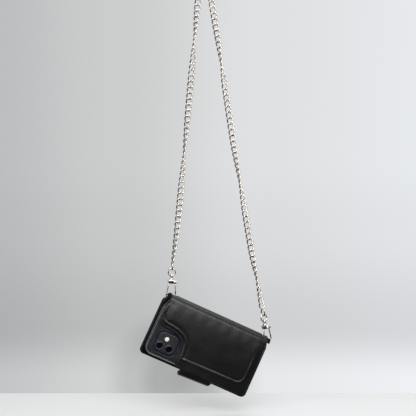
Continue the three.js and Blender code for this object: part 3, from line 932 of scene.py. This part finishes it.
def strap_outline():
    """The strap's sides and end on the flat hide, from its left root round to its right root."""
    end = FOLD + STRAP_LENGTH
    left, right = STRAP_LEFT + 1.4, STRAP_RIGHT - 1.6
    return np.vstack([
        bezier((57, down_way(-86.6)), (58.4, down_way(-87.2)), (58.6, FOLD + 1.5), steps=6),
        bezier((58.6, FOLD + 1.5), (left, FOLD + 5), (left, FOLD + 9), steps=6),
        bezier((left, end - 3), (left, end), (left + 3, end), steps=8),
        bezier((right - 3, end), (right, end), (right, end - 3), steps=8),
        bezier((right, FOLD + 8), (right + 0.2, FOLD + 4), (STRAP_RIGHT, FOLD), steps=6),
        bezier((STRAP_RIGHT, FOLD), (STRAP_RIGHT + 0.4, down_way(PANEL_BOTTOM + 1.2)),
               (STRAP_RIGHT + 3.5, down_way(PANEL_BOTTOM)), steps=8),
    ])


def spine_left_end():
    """The hide's left cut end over the spine, from the front crease to the back panel."""
    crest = ARCH / 2
    return np.vstack([
        bezier((3.2, 0.1), (3.6, 6), (5.2, crest), steps=8),
        bezier((5.2, crest), (6.2, crest + 3), (7.9, crest + 8), steps=8),
        bezier((7.9, crest + 8), (8.4, crest + 12), (6.6, down_way(-10.2)), steps=8),
    ])


def hide_outline():
    """The whole outline of the hide, seen from outside with the way running down."""
    bottom = down_way(PANEL_BOTTOM)
    corner = arc(PANEL_RIGHT - CORNER, CORNER - bottom, CORNER, 270, 360) * (1, -1)
    right = [(PANEL_RIGHT, bottom - CORNER), (PANEL_RIGHT, down_way(-16)), (151.9, ARCH - 2),
             (151.2, ARCH / 2),
             (152.0, 5), (152.8, 0.1)]
    return np.vstack([spine_left_end(), flat(s_curve()), strap_outline(), corner, right])


def inner_line():
    """The embossed line inside the edge: beside the S-curve, along the open edge and up the right side."""
    return np.vstack([
        bezier((10.6, -12), (9.3, -20), (9.7, -27.7)),
        bezier((9.7, -27.7), (10.6, -35.6), (15, -36), (20.3, -36.6)),
        bezier((20.3, -36.6), (39, -37.6), (53.6, -43.5), (54.8, -59.5), steps=24),
        bezier((54.8, -59.5), (55.4, -65), (55.4, -68), (55.6, -71.4), steps=8),
        [(55.6, -71.4), (132.6, -70.8)],
        arc(132.6, -61.8, 9, 270, 360),
        [(141.6, -61.8), (142.0, -9)],
    ])


INNER_LINE = inner_line()
BESIDE_CUT_AWAY = slice(4, 52)           # its points beside the camera cut-away
HIDE_OUTLINE = resample(hide_outline(), 0.8)
BEAD = 4.6                               # width of the padded bead along the embossed line
BEAD_HEIGHT = 0.85
LONG_BEAD = 0.5                          # how much of that height is left along the open edge
GROOVE_DEPTH, GROOVE_WIDTH = 0.35, 0.6
SEAM_INSET, SEAM_DEPTH, SEAM_WIDTH = 2.7, 0.40, 0.7
SWELL, SWELL_REACH = 2.3, 15             # the leather bulges away from the phone below the spine
LOWER_SWELL = 1.3                        # what the bulge loses again towards the open edge


def relief(points):
    """Height of the hide's face over plain leather, for points on the flat hide."""
    x = points[:, 0]
    drop = points[:, 1] - ARCH - CREASE_Z
    standing = np.stack([x, -drop], 1)
    away = distance_to(standing, INNER_LINE)
    centre = inside(standing, np.vstack([INNER_LINE, [(142.0, 40), (10.6, 40)]]))
    outward = np.where(centre, -away, away)
    fade = np.where(x > 90, smoothstep(18, 50, drop), smoothstep(12, 26, drop))
    bead = BEAD_HEIGHT * np.sin(np.pi * np.clip(outward / BEAD, 0, 1)) ** 0.8
    bead *= np.where((x > 60) & (drop > 66), LONG_BEAD, 1.0)
    groove = -GROOVE_DEPTH * np.exp(-((outward + 0.5) / GROOVE_WIDTH) ** 2)
    edge_away = distance_to(points, HIDE_OUTLINE, closed=True)
    border = 0.22 * smoothstep(BEAD * 0.6, BEAD, outward) * smoothstep(0.0, 1.2, edge_away)
    seam = -SEAM_DEPTH * np.exp(-((edge_away - SEAM_INSET) / SEAM_WIDTH) ** 2) * smoothstep(8, 14, drop)
    turned = -0.30 * np.exp(-((edge_away - 2.1) / 0.5) ** 2) * (1 - smoothstep(8, 13, drop)) * (x < 60)
    swell = SWELL * (1 - np.exp(-(np.maximum(drop, 0) / SWELL_REACH) ** 1.7))
    swell -= LOWER_SWELL * smoothstep(45, 86, drop)
    swell *= 0.25 + 0.75 * smoothstep(0, 15, edge_away)
    swell *= 1 - 0.9 * smoothstep(85, 90, drop)
    slack = 0.16 * np.sin(x / 7.7) * np.sin(x / 4.3 + 1) * np.exp(-((drop - 14) / 9) ** 2)
    slack += 0.07 * np.sin(x / 13 + drop / 17) * smoothstep(20, 40, drop) * np.where(centre, 1, 0)
    return (bead + groove + border) * fade + seam + turned + swell + slack


HIDE_SPACING = 1.0


def hide():
    """Back panel, spine cover and strap are one piece of leather."""
    low, high = ARCH / 2 - SLOT_REACH, ARCH / 2 + SLOT_REACH
    holes = []
    for x0, x1 in SLOTS:
        holes.append(resample(rounded_rectangle(x0, x1, low, high, 2.0, 6) * (1, -1), 0.6)[::-1])
    vertices, faces, kinds = sheet_solid(
        HIDE_OUTLINE * (1, -1), LEATHER, 0.45, HIDE_SPACING,
        lambda points, height: bend_hide(points * (1, -1), height), holes,
        lambda points: relief(points * (1, -1)))
    made = build("hide", vertices, faces, LEATHER_LOOK, face_looks=kinds, looks=[LEATHER_LOOK, EDGE_LOOK],
                 sharp=60)
    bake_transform(made)
    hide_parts("back_panel", "spine_leather", "strap_leather")


# ---------------------------------------------------------------- stitches
STITCH_PITCH, STITCH_LENGTH, STITCH_RADIUS = 3.4, 2.3, 0.42


def stitch(start, end, outward):
    """One stitch: a short thread whose ends dive into the leather."""
    start, end, outward = Vector(start), Vector(end), Vector(outward)
    points = []
    for t in (0, 0.18, 0.5, 0.82, 1):
        rise = STITCH_RADIUS * (1.1 * math.sin(math.pi * t) - 0.35)
        points.append(start.lerp(end, t) + outward * rise)
    return wire(points, STITCH_RADIUS, 8)


def seam(name, line, bend, body):
    """A row of stitches along a line. bend(points, lift) gives places at a lift over the leather's face."""
    line = resample(line, 0.25, closed=False)
    lengths = np.r_[0, np.cumsum(np.linalg.norm(np.diff(line, axis=0), axis=1))]
    count = int(lengths[-1] // STITCH_PITCH)
    first = (lengths[-1] - (count - 1) * STITCH_PITCH - STITCH_LENGTH) / 2
    starts = first + STITCH_PITCH * np.arange(count)

    def places(along):
        return np.stack([np.interp(along, lengths, line[:, k]) for k in (0, 1)], 1)

    heads, tails = places(starts), places(starts + STITCH_LENGTH)
    parts = []
    for head, tail, top in zip(bend(heads, 0.0), bend(tails, 0.0), bend(heads, 1.0)):
        parts.append(stitch(head, tail, (Vector(top) - Vector(head)).normalized()))
    finished(build(name, *merged(parts), THREAD_LOOK), body)


def on_hide(points, lift):
    return bend_hide(points, LEATHER + relief(points) + lift)


def hide_stitches():
    inset = offset(HIDE_OUTLINE * (1, -1), SEAM_INSET) * (1, -1)
    drop = inset[:, 1] - ARCH - CREASE_Z
    x = inset[:, 0]
    left_run = inset[(drop > 14) & (x < 60) & (drop < -PANEL_BOTTOM - 3)]
    right_side = [(PANEL_RIGHT - SEAM_INSET, down_way(-14)),
                  (PANEL_RIGHT - SEAM_INSET, down_way(PANEL_BOTTOM + CORNER))]
    corner_height = CORNER - down_way(PANEL_BOTTOM)
    corner = arc(PANEL_RIGHT - CORNER, corner_height, CORNER - SEAM_INSET, 0, -90) * (1, -1)
    along_edge = [(PANEL_RIGHT - CORNER, down_way(PANEL_BOTTOM + SEAM_INSET)),
                  (STRAP_RIGHT + 4, down_way(PANEL_BOTTOM + SEAM_INSET))]
    seam("stitches_cut_away", left_run, on_hide, "holder")
    seam("stitches_right_edge", np.vstack([right_side, corner, along_edge]), on_hide, "holder")
    seam("stitches_bead", flat(INNER_LINE[BESIDE_CUT_AWAY]), on_hide, "holder")
    strap_inset = STRAP_LEFT + 1.4 + 2.2, STRAP_RIGHT - 1.6 - 2.2
    low, end = FOLD + 2.5, FOLD + STRAP_LENGTH - 2.4
    loop = [(strap_inset[0], low), (strap_inset[0], end), (strap_inset[1], end), (strap_inset[1], low)]
    seam("stitches_strap", loop, lambda points, lift: bend_hide(points, LEATHER + lift), "strap")


# ---------------------------------------------------------------- front cover
COVER_LEATHER = 1.4


def cover_outline():
    low, right = -COVER_DROP + CORNER, COVER_LENGTH - CORNER
    return [
        *arc(CORNER, low, CORNER, 180, 270), (CORNER, -COVER_DROP), *arc(right, low, CORNER, 270, 360),
        (COVER_LENGTH, low), (COVER_LENGTH, -14), (COVER_LENGTH - 1.4, -9.6), (COVER_LENGTH - 2.2, -8.82),
        (3.0, -8.82), (1.2, -9.6), (0.0, -13),
    ]


def cover_relief(points):
    edge_away = distance_to(points, COVER_EDGE, closed=True)
    lower = smoothstep(-12, -16, points[:, 1])
    seam_groove = -0.2 * np.exp(-((edge_away - SEAM_INSET) / 0.55) ** 2) * lower
    pillow = 0.5 * smoothstep(0, 16, edge_away)
    return seam_groove + pillow * lower


COVER_EDGE = resample(cover_outline(), 1.0)


def blend_to_cover(made):
    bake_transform(made)


def cover():
    made = standing_sheet("cover", COVER_EDGE, HALF_THICKNESS - COVER_LEATHER, 1, COVER_LEATHER, 0.45, 2.2,
                          LEATHER_LOOK, EDGE_LOOK, relief=cover_relief)
    blend_to_cover(made)
    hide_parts("cover_leather")
    low, round_seam = -COVER_DROP + CORNER, CORNER - SEAM_INSET
    path = np.vstack([
        [(SEAM_INSET, -15), (SEAM_INSET, low)], arc(CORNER, low, round_seam, 180, 270),
        arc(COVER_LENGTH - CORNER, low, round_seam, 270, 360),
        [(COVER_LENGTH - SEAM_INSET, low), (COVER_LENGTH - SEAM_INSET, -15)],
    ])

    def on_cover(points, lift):
        face = HALF_THICKNESS + cover_relief(points)
        return [(p[0], y + lift, p[1]) for p, y in zip(points, face)]

    seam("stitches_cover", path, on_cover, "cover")


def inside_cover():
    """Lining and pockets, which show when the cover is open."""
    lining_front = HALF_THICKNESS - LEATHER + 0.1 - 0.3 - 0.6 - 0.3
    lining = standing_sheet("cover_inner", resample(rounded_rectangle(
        2.0, COVER_LENGTH - 2.0, -COVER_DROP + 1.8, -11.0, CORNER - 1, 10), 1.2),
        lining_front, -1, 0.5, 0.2, 3.0, LINING_LOOK)
    finished(lining, "cover", ["cover_lining"])
    layer = lining_front - 0.5 - 0.3
    pockets = [(f"card_pocket_{k + 1}", 8.0, 98.0, -20 - 14 * k, layer - 0.7 * k) for k in range(3)]
    pockets.append(("slip_pocket", 101.0, COVER_LENGTH - 7, -28, layer))
    for node, left, right, top, face in pockets:
        bottom, corner = -84.0, 3.0
        outline = np.vstack([
            arc(left + corner, bottom + corner, corner, 180, 270),
            arc(right - corner, bottom + corner, corner, 270, 360),
            [(right, top)], bezier((right - 12, top), ((left + right) / 2, top - 3.0), (left + 12, top)),
            [(left, top)],
        ])
        pocket = standing_sheet(f"sewn_{node}", resample(outline, 1.2), face, -1, 0.4, 0.18, 3.0,
                                POCKET_LOOK)
        finished(pocket, "cover", [node])
        line = [(left + 1.6, top - 2), (left + 1.6, bottom + 1.6), (right - 1.6, bottom + 1.6),
                (right - 1.6, top - 2)]
        seam(f"stitches_{node}", line,
             lambda points, lift, y=face - 0.4: [(p[0], y - lift, p[1]) for p in points], "cover")


# ---------------------------------------------------------------- linings of the spine and the strap
def spine_lining():
    """The black tunnel under the spine's leather, slotted for the clasps."""
    outer = HALF_THICKNESS - LEATHER - 0.3
    arch = math.pi * outer
    outline = resample(rounded_rectangle(LINING_LEFT, LINING_RIGHT, -arch + 0.3, -0.3, 0.8, 3), 0.8)
    reach = SLOT_REACH * outer / HALF_THICKNESS
    holes = [resample(rounded_rectangle(x0, x1, -arch / 2 - reach, -arch / 2 + reach, 1.6, 6), 0.6)[::-1]
             for x0, x1 in SLOTS]

    def surface(points, height):
        height = np.broadcast_to(height, len(points))
        made = []
        for (x, way), h in zip(points, height):
            angle, radius = -way / outer, outer - 1.0 + h
            made.append((x, radius * math.cos(angle), CREASE_Z + radius * math.sin(angle)))
        return made

    tunnel = sheet_solid(outline, 1.0, 0.3, 1.4, surface, holes)
    finished(build("spine_tunnel", *tunnel[:2], LINING_LOOK, sharp=60), "holder", ["spine_lining"])


def strap_lining():
    outer, drop = HALF_THICKNESS - 2.1, STRAP_DROP - 2.1
    last = 2 * math.pi - math.asin((STRAP_AXIS_Z - STRAP_END_Z + 0.4) / drop)
    reach = outer * (last - math.pi) * 0.8
    outline = resample(rounded_rectangle(STRAP_LEFT + 2.2, STRAP_RIGHT - 2.2, -reach, 0, 1.5, 4), 1.2)

    def surface(points, height):
        height = np.broadcast_to(height, len(points))
        made = []
        for (x, way), h in zip(points, height):
            angle = math.pi - way / reach * (last - math.pi)
            made.append((x, (outer - 0.7 + h) * math.cos(angle),
                         STRAP_AXIS_Z + (drop - 0.7 + h) * math.sin(angle)))
        return made

    inner_face = sheet_solid(outline, 0.7, 0.25, 1.6, surface)
    finished(build("strap_inner", *inner_face[:2], LINING_LOOK, sharp=60), "strap", ["strap_lining"])


# ---------------------------------------------------------------- shell
def phone_outline(grow):
    corner = PHONE["corner"] + grow
    return resample(rounded_rectangle(PHONE["left"] - grow, PHONE["right"] + grow, PHONE["bottom"] - grow,
                                      PHONE["top"] + grow, corner, 14), 1.2)


def island_outline(grow):
    half_width, half_height = ISLAND["width"] / 2 + grow, ISLAND["height"] / 2 + grow
    left, right = ISLAND["x"] - half_width, ISLAND["x"] + half_width
    bottom, top = ISLAND["z"] - half_height, ISLAND["z"] + half_height
    return resample(rounded_rectangle(left, right, bottom, top, ISLAND["corner"] + grow, 12), 0.8)


def loft(outline, rings):
    """Joins copies of an outline, each at an inset and a Y, into a closed ring of skin."""
    count = len(outline)
    vertices, faces = [], []
    for inset, y in rings:
        vertices.extend((x, y, z) for x, z in offset(outline, inset))
    for i in range(len(rings)):
        j = (i + 1) % len(rings)
        for k in range(count):
            m = (k + 1) % count
            faces.append((i * count + k, j * count + k, j * count + m, i * count + m))
    return vertices, faces


WINDOW_MARGIN = 1.2


def shell():
    """The soft tray round the phone: a rolled rim, walls, a lip over the screen and the camera window."""
    back, front = SHELL_BACK, SHELL_FRONT
    rim = [(3.0, back + 0.25), (2.1, back + 0.2), (1.5, back - 0.05), (1.05, back - 0.12),
           (0.6, back + 0.05), (0.2, back + 0.5), (0.0, back + 1.2), (0.0, front - 1.1),
           (0.15, front - 0.5), (0.5, front - 0.1), (1.0, front), (2.3, front), (2.5, front - 0.25),
           (2.3, front - 0.5), (1.4, front - 0.6), (1.3, -5.5), (3.0, -5.5)]
    wall = loft(phone_outline(SHELL_MARGIN), rim)
    window = island_outline(WINDOW_MARGIN)
    tray = sheet_solid(phone_outline(SHELL_MARGIN - 2.6), 1.1, 0.3, 3.0, stand(-5.5, -1), [window[::-1]])
    bead_line = [(x, back + 0.15, z) for x, z in island_outline(WINDOW_MARGIN + 0.5)]
    parts = merged([wall, tray[:2], wire(bead_line, 0.55, 10, closed=True)])
    around = len(phone_outline(SHELL_MARGIN))
    # The rolled back rim takes the lighter grey look, a painted highlight along the shell's edge.
    painted_highlight_faces = range(around, 4 * around)            # the second to fourth rings of the wall
    face_looks = [int(i in painted_highlight_faces) for i in range(len(parts[1]))]
    made = build("soft_shell", *parts, RUBBER_LOOK, sharp=50, face_looks=face_looks,
                 looks=[RUBBER_LOOK, RIM_PAINTED_HIGHLIGHT_LOOK])
    finished(made, "holder", ["phone_shell"])


# ---------------------------------------------------------------- phone details
def facing(part, x, z):
    """Turns a lathed part so that its top faces the camera side, at a place on the wallet."""
    return moved(part, Matrix.Translation((x, 0, z)) @ Matrix.Rotation(math.pi / 2, 4, "X"))


def camera_island():
    plate = sheet_solid(island_outline(-1.0), 1.1, 0.5, 2.5, stand(-5.6, -1))
    finished(build("island_plate", *plate[:2], ISLAND_LOOK, sharp=60), "holder", ["camera_island"])
    for number, (x, z) in enumerate(LENSES, 1):
        ring = [(4.5, 6.5), (4.5, 7.45), (4.7, 7.62), (5.4, 7.62), (5.75, 7.45), (5.9, 7.1), (5.9, 6.6)]
        finished(build(f"ring_round_lens_{number}", *facing(lathe(ring, 48), x, z), LENS_RING_LOOK,
                       sharp=60),
                 "holder", [f"lens_ring_{number}"])
        dome = [(0, 6.6), (4.45, 6.6), (4.45, 7.12), (4.3, 7.2), (4.0, 7.2), (0, 7.2)]
        finished(build(f"lens_{number}", *facing(lathe(dome, 48), x, z), LENS_LOOK, sharp=40), "holder",
                 [f"lens_glass_{number}"])
    window = [(0, 6.6), (2.9, 6.6), (2.9, 6.95), (2.75, 7.08), (2.3, 7.16), (0, 7.2)]
    finished(build("flash", *facing(lathe(window, 36), *FLASH), FLASH_PAINTED_GLOW_LOOK), "holder", ["flash_window"])
    mic = [(0, 6.55), (0.55, 6.55), (0.55, 6.76), (0.35, 6.78), (0.3, 6.6), (0, 6.58)]
    finished(build("microphone", *facing(lathe(mic, 20), 19.4, -56.6), LENS_LOOK), "holder")


def dress_cad():
    """Looks for the CAD pieces that stay as they are."""
    looks = {"phone_frame": PHONE_METAL_LOOK, "phone_screen": SCREEN_LOOK,
             "phone_back_glass": PHONE_GLASS_LOOK,
             "cover_board": BOARD_LOOK, "cover_magnet": MAGNET_LOOK, "strap_magnet": MAGNET_LOOK}
    for node, look in looks.items():
        piece = bpy.data.objects[node]
        piece.data.materials.clear()
        piece.data.materials.append(look)


hide()
hide_stitches()
cover()
inside_cover()
spine_lining()
strap_lining()
shell()
camera_island()
dress_cad()


# ---------------------------------------------------------------- stage
def make_floor():
    """A pale floor a little under the wallet's low corner, whose far edge is level in the picture.

    It throws no light back, as if black cloth hid it from the leather.
    """
    height = CAD_BOX[0].z - 0.024
    front, back, half = -1.6, 0.14, 1.9
    corners = [VIEW_RIGHT * aside + VIEW_FORWARD * ahead + Vector((0, 0, height))
               for aside, ahead in ((-half, front), (half, front), (half, back), (-half, back))]
    mesh = bpy.data.meshes.new("floor")
    mesh.from_pydata(corners, [], [(0, 1, 2, 3)])
    shader = Shader("floor", Roughness=0.6)
    patches = shader.noise(3, 2)
    shader.vary("Base Color", patches, (0.70, 0.705, 0.71), (0.73, 0.735, 0.74))
    floor = add_object("floor", mesh, [shader.bump(((shader.noise(900, 2), 0.05, 0.0001),))], smooth=False)
    floor.visible_glossy = False
    floor.visible_diffuse = False


def area_light(name, location, target, size, power, colour=(1, 1, 1)):
    data = bpy.data.lights.new(name, "AREA")
    data.shape = "RECTANGLE"
    data.size, data.size_y = size
    data.energy = power
    data.color = colour
    made = bpy.data.objects.new(name, data)
    bpy.context.scene.collection.objects.link(made)
    made.location = location
    made.rotation_mode = "QUATERNION"
    made.rotation_quaternion = (Vector(target) - Vector(location)).to_track_quat("-Z", "Y")


# The soft shade that the wallet leaves on the backdrop, as view directions.
SHADE_X, SHADE_Z, SHADE_WIDTH, SHADE_HEIGHT = 0.142, -0.194, 0.096, 0.085


def background(tree, colour):
    made = tree.nodes.new("ShaderNodeBackground")
    tree.links.new(colour, made.inputs["Color"])
    return made.outputs[0]


def world_ramp(tree, factor, low, high, stops):
    """Greys and near-greys along a factor that runs from low to high."""
    scale = tree.nodes.new("ShaderNodeMapRange")
    scale.inputs["From Min"].default_value = low
    scale.inputs["From Max"].default_value = high
    tree.links.new(factor, scale.inputs["Value"])
    node = tree.nodes.new("ShaderNodeValToRGB")
    node.color_ramp.interpolation = "EASE"
    while len(node.color_ramp.elements) < len(stops):
        node.color_ramp.elements.new(0.5)
    for element, (position, value) in zip(node.color_ramp.elements, stops):
        element.position = position
        element.color = (*value, 1) if hasattr(value, "__len__") else (value, value, value, 1)
    tree.links.new(scale.outputs["Result"], node.inputs["Fac"])
    return node.outputs["Color"]


def multiply(tree, a, b):
    node = tree.nodes.new("ShaderNodeMix")
    node.data_type = "RGBA"
    node.blend_type = "MULTIPLY"
    node.inputs["Factor"].default_value = 1
    tree.links.new(a, node.inputs["A"])
    tree.links.new(b, node.inputs["B"])
    return node.outputs["Result"]


def backdrop_colour(tree, direction, split):
    """What the camera sees, with light and shade painted in: paler to the right and near the floor, a darker
    band across the wallet's height and a soft shade behind the wallet.
    """
    # Painted light falloff: the backdrop grows paler to the right.
    across_painted_light = world_ramp(tree, split.outputs["X"], -0.08, 0.42, (
        (0.0, (0.50, 0.51, 0.52)), (0.30, (0.60, 0.61, 0.61)), (0.62, (0.74, 0.75, 0.76)),
        (1.0, (0.80, 0.82, 0.85))))
    # Painted shade: a darker band across the wallet's height, paler again towards the floor.
    height_painted_light = world_ramp(tree, split.outputs["Z"], -0.24, 0.24, (
        (0.0, 1.10), (0.10, 1.08), (0.22, 0.84), (0.45, 0.95), (0.62, 1.0), (1.0, 1.0)))
    beside = tree.nodes.new("ShaderNodeMapping")
    beside.inputs["Location"].default_value = (-SHADE_X / SHADE_WIDTH, 0, -SHADE_Z / SHADE_HEIGHT)
    beside.inputs["Scale"].default_value = (1 / SHADE_WIDTH, 0, 1 / SHADE_HEIGHT)
    tree.links.new(direction, beside.inputs["Vector"])
    from_middle = tree.nodes.new("ShaderNodeVectorMath")
    from_middle.operation = "LENGTH"
    tree.links.new(beside.outputs["Vector"], from_middle.inputs[0])
    shade = world_ramp(tree, from_middle.outputs["Value"], 0, 1,
                       ((0.0, 0.55), (0.3, 0.62), (0.6, 0.80), (1.0, 1.0)))
    return multiply(tree, multiply(tree, across_painted_light, height_painted_light), shade)


def room_colour(tree, split):
    """What lights the object: a pale room behind and above it, dark in front."""
    depth_light = world_ramp(tree, split.outputs["Y"], -1, 1, (
        (0.0, (0.02, 0.02, 0.022)), (0.35, 0.05), (0.6, 0.40), (1.0, (0.75, 0.75, 0.76))))
    height_light = world_ramp(tree, split.outputs["Z"], -1, 1,
                              ((0.0, 0.8), (0.45, 0.55), (0.75, 0.9), (1.0, 1.2)))
    return multiply(tree, depth_light, height_light)


def make_world():
    """A backdrop for the camera, and another, darker in front, for light and reflections."""
    world = bpy.data.worlds.new("studio")
    bpy.context.scene.world = world
    world.use_nodes = True
    tree = world.node_tree
    tree.nodes.clear()
    direction = tree.nodes.new("ShaderNodeTexCoord").outputs["Generated"]
    split = tree.nodes.new("ShaderNodeSeparateXYZ")
    tree.links.new(direction, split.inputs[0])
    mix = tree.nodes.new("ShaderNodeMixShader")
    tree.links.new(tree.nodes.new("ShaderNodeLightPath").outputs["Is Camera Ray"], mix.inputs["Fac"])
    tree.links.new(background(tree, room_colour(tree, split)), mix.inputs[1])
    tree.links.new(background(tree, backdrop_colour(tree, direction, split)), mix.inputs[2])
    output = tree.nodes.new("ShaderNodeOutputWorld")
    tree.links.new(mix.outputs[0], output.inputs["Surface"])


def make_lights():
    target = WALLET @ Vector((76, 0, -44))
    area_light("front_high", target + Vector((0.05, -1.10, 0.60)), target, (1.2, 0.82), 14.5)
    area_light("overhead", target + Vector((-0.1, -0.55, 0.90)), target, (0.9, 0.4), 2.5)
    area_light("top", target + Vector((0.4, 0.25, 1.2)), target, (1.6, 0.9), 8.5)
    area_light("side_left", target + Vector((-0.95, -0.75, 0.22)), target, (0.3, 0.8), 3.0,
               (1.0, 0.98, 0.96))
    area_light("side_right", target + Vector((1.1, -0.35, 0.3)), target, (0.3, 0.9), 1.6, (0.97, 0.98, 1.0))


make_floor()
make_world()
make_lights()
bpy.context.scene.view_settings.view_transform = "Standard"
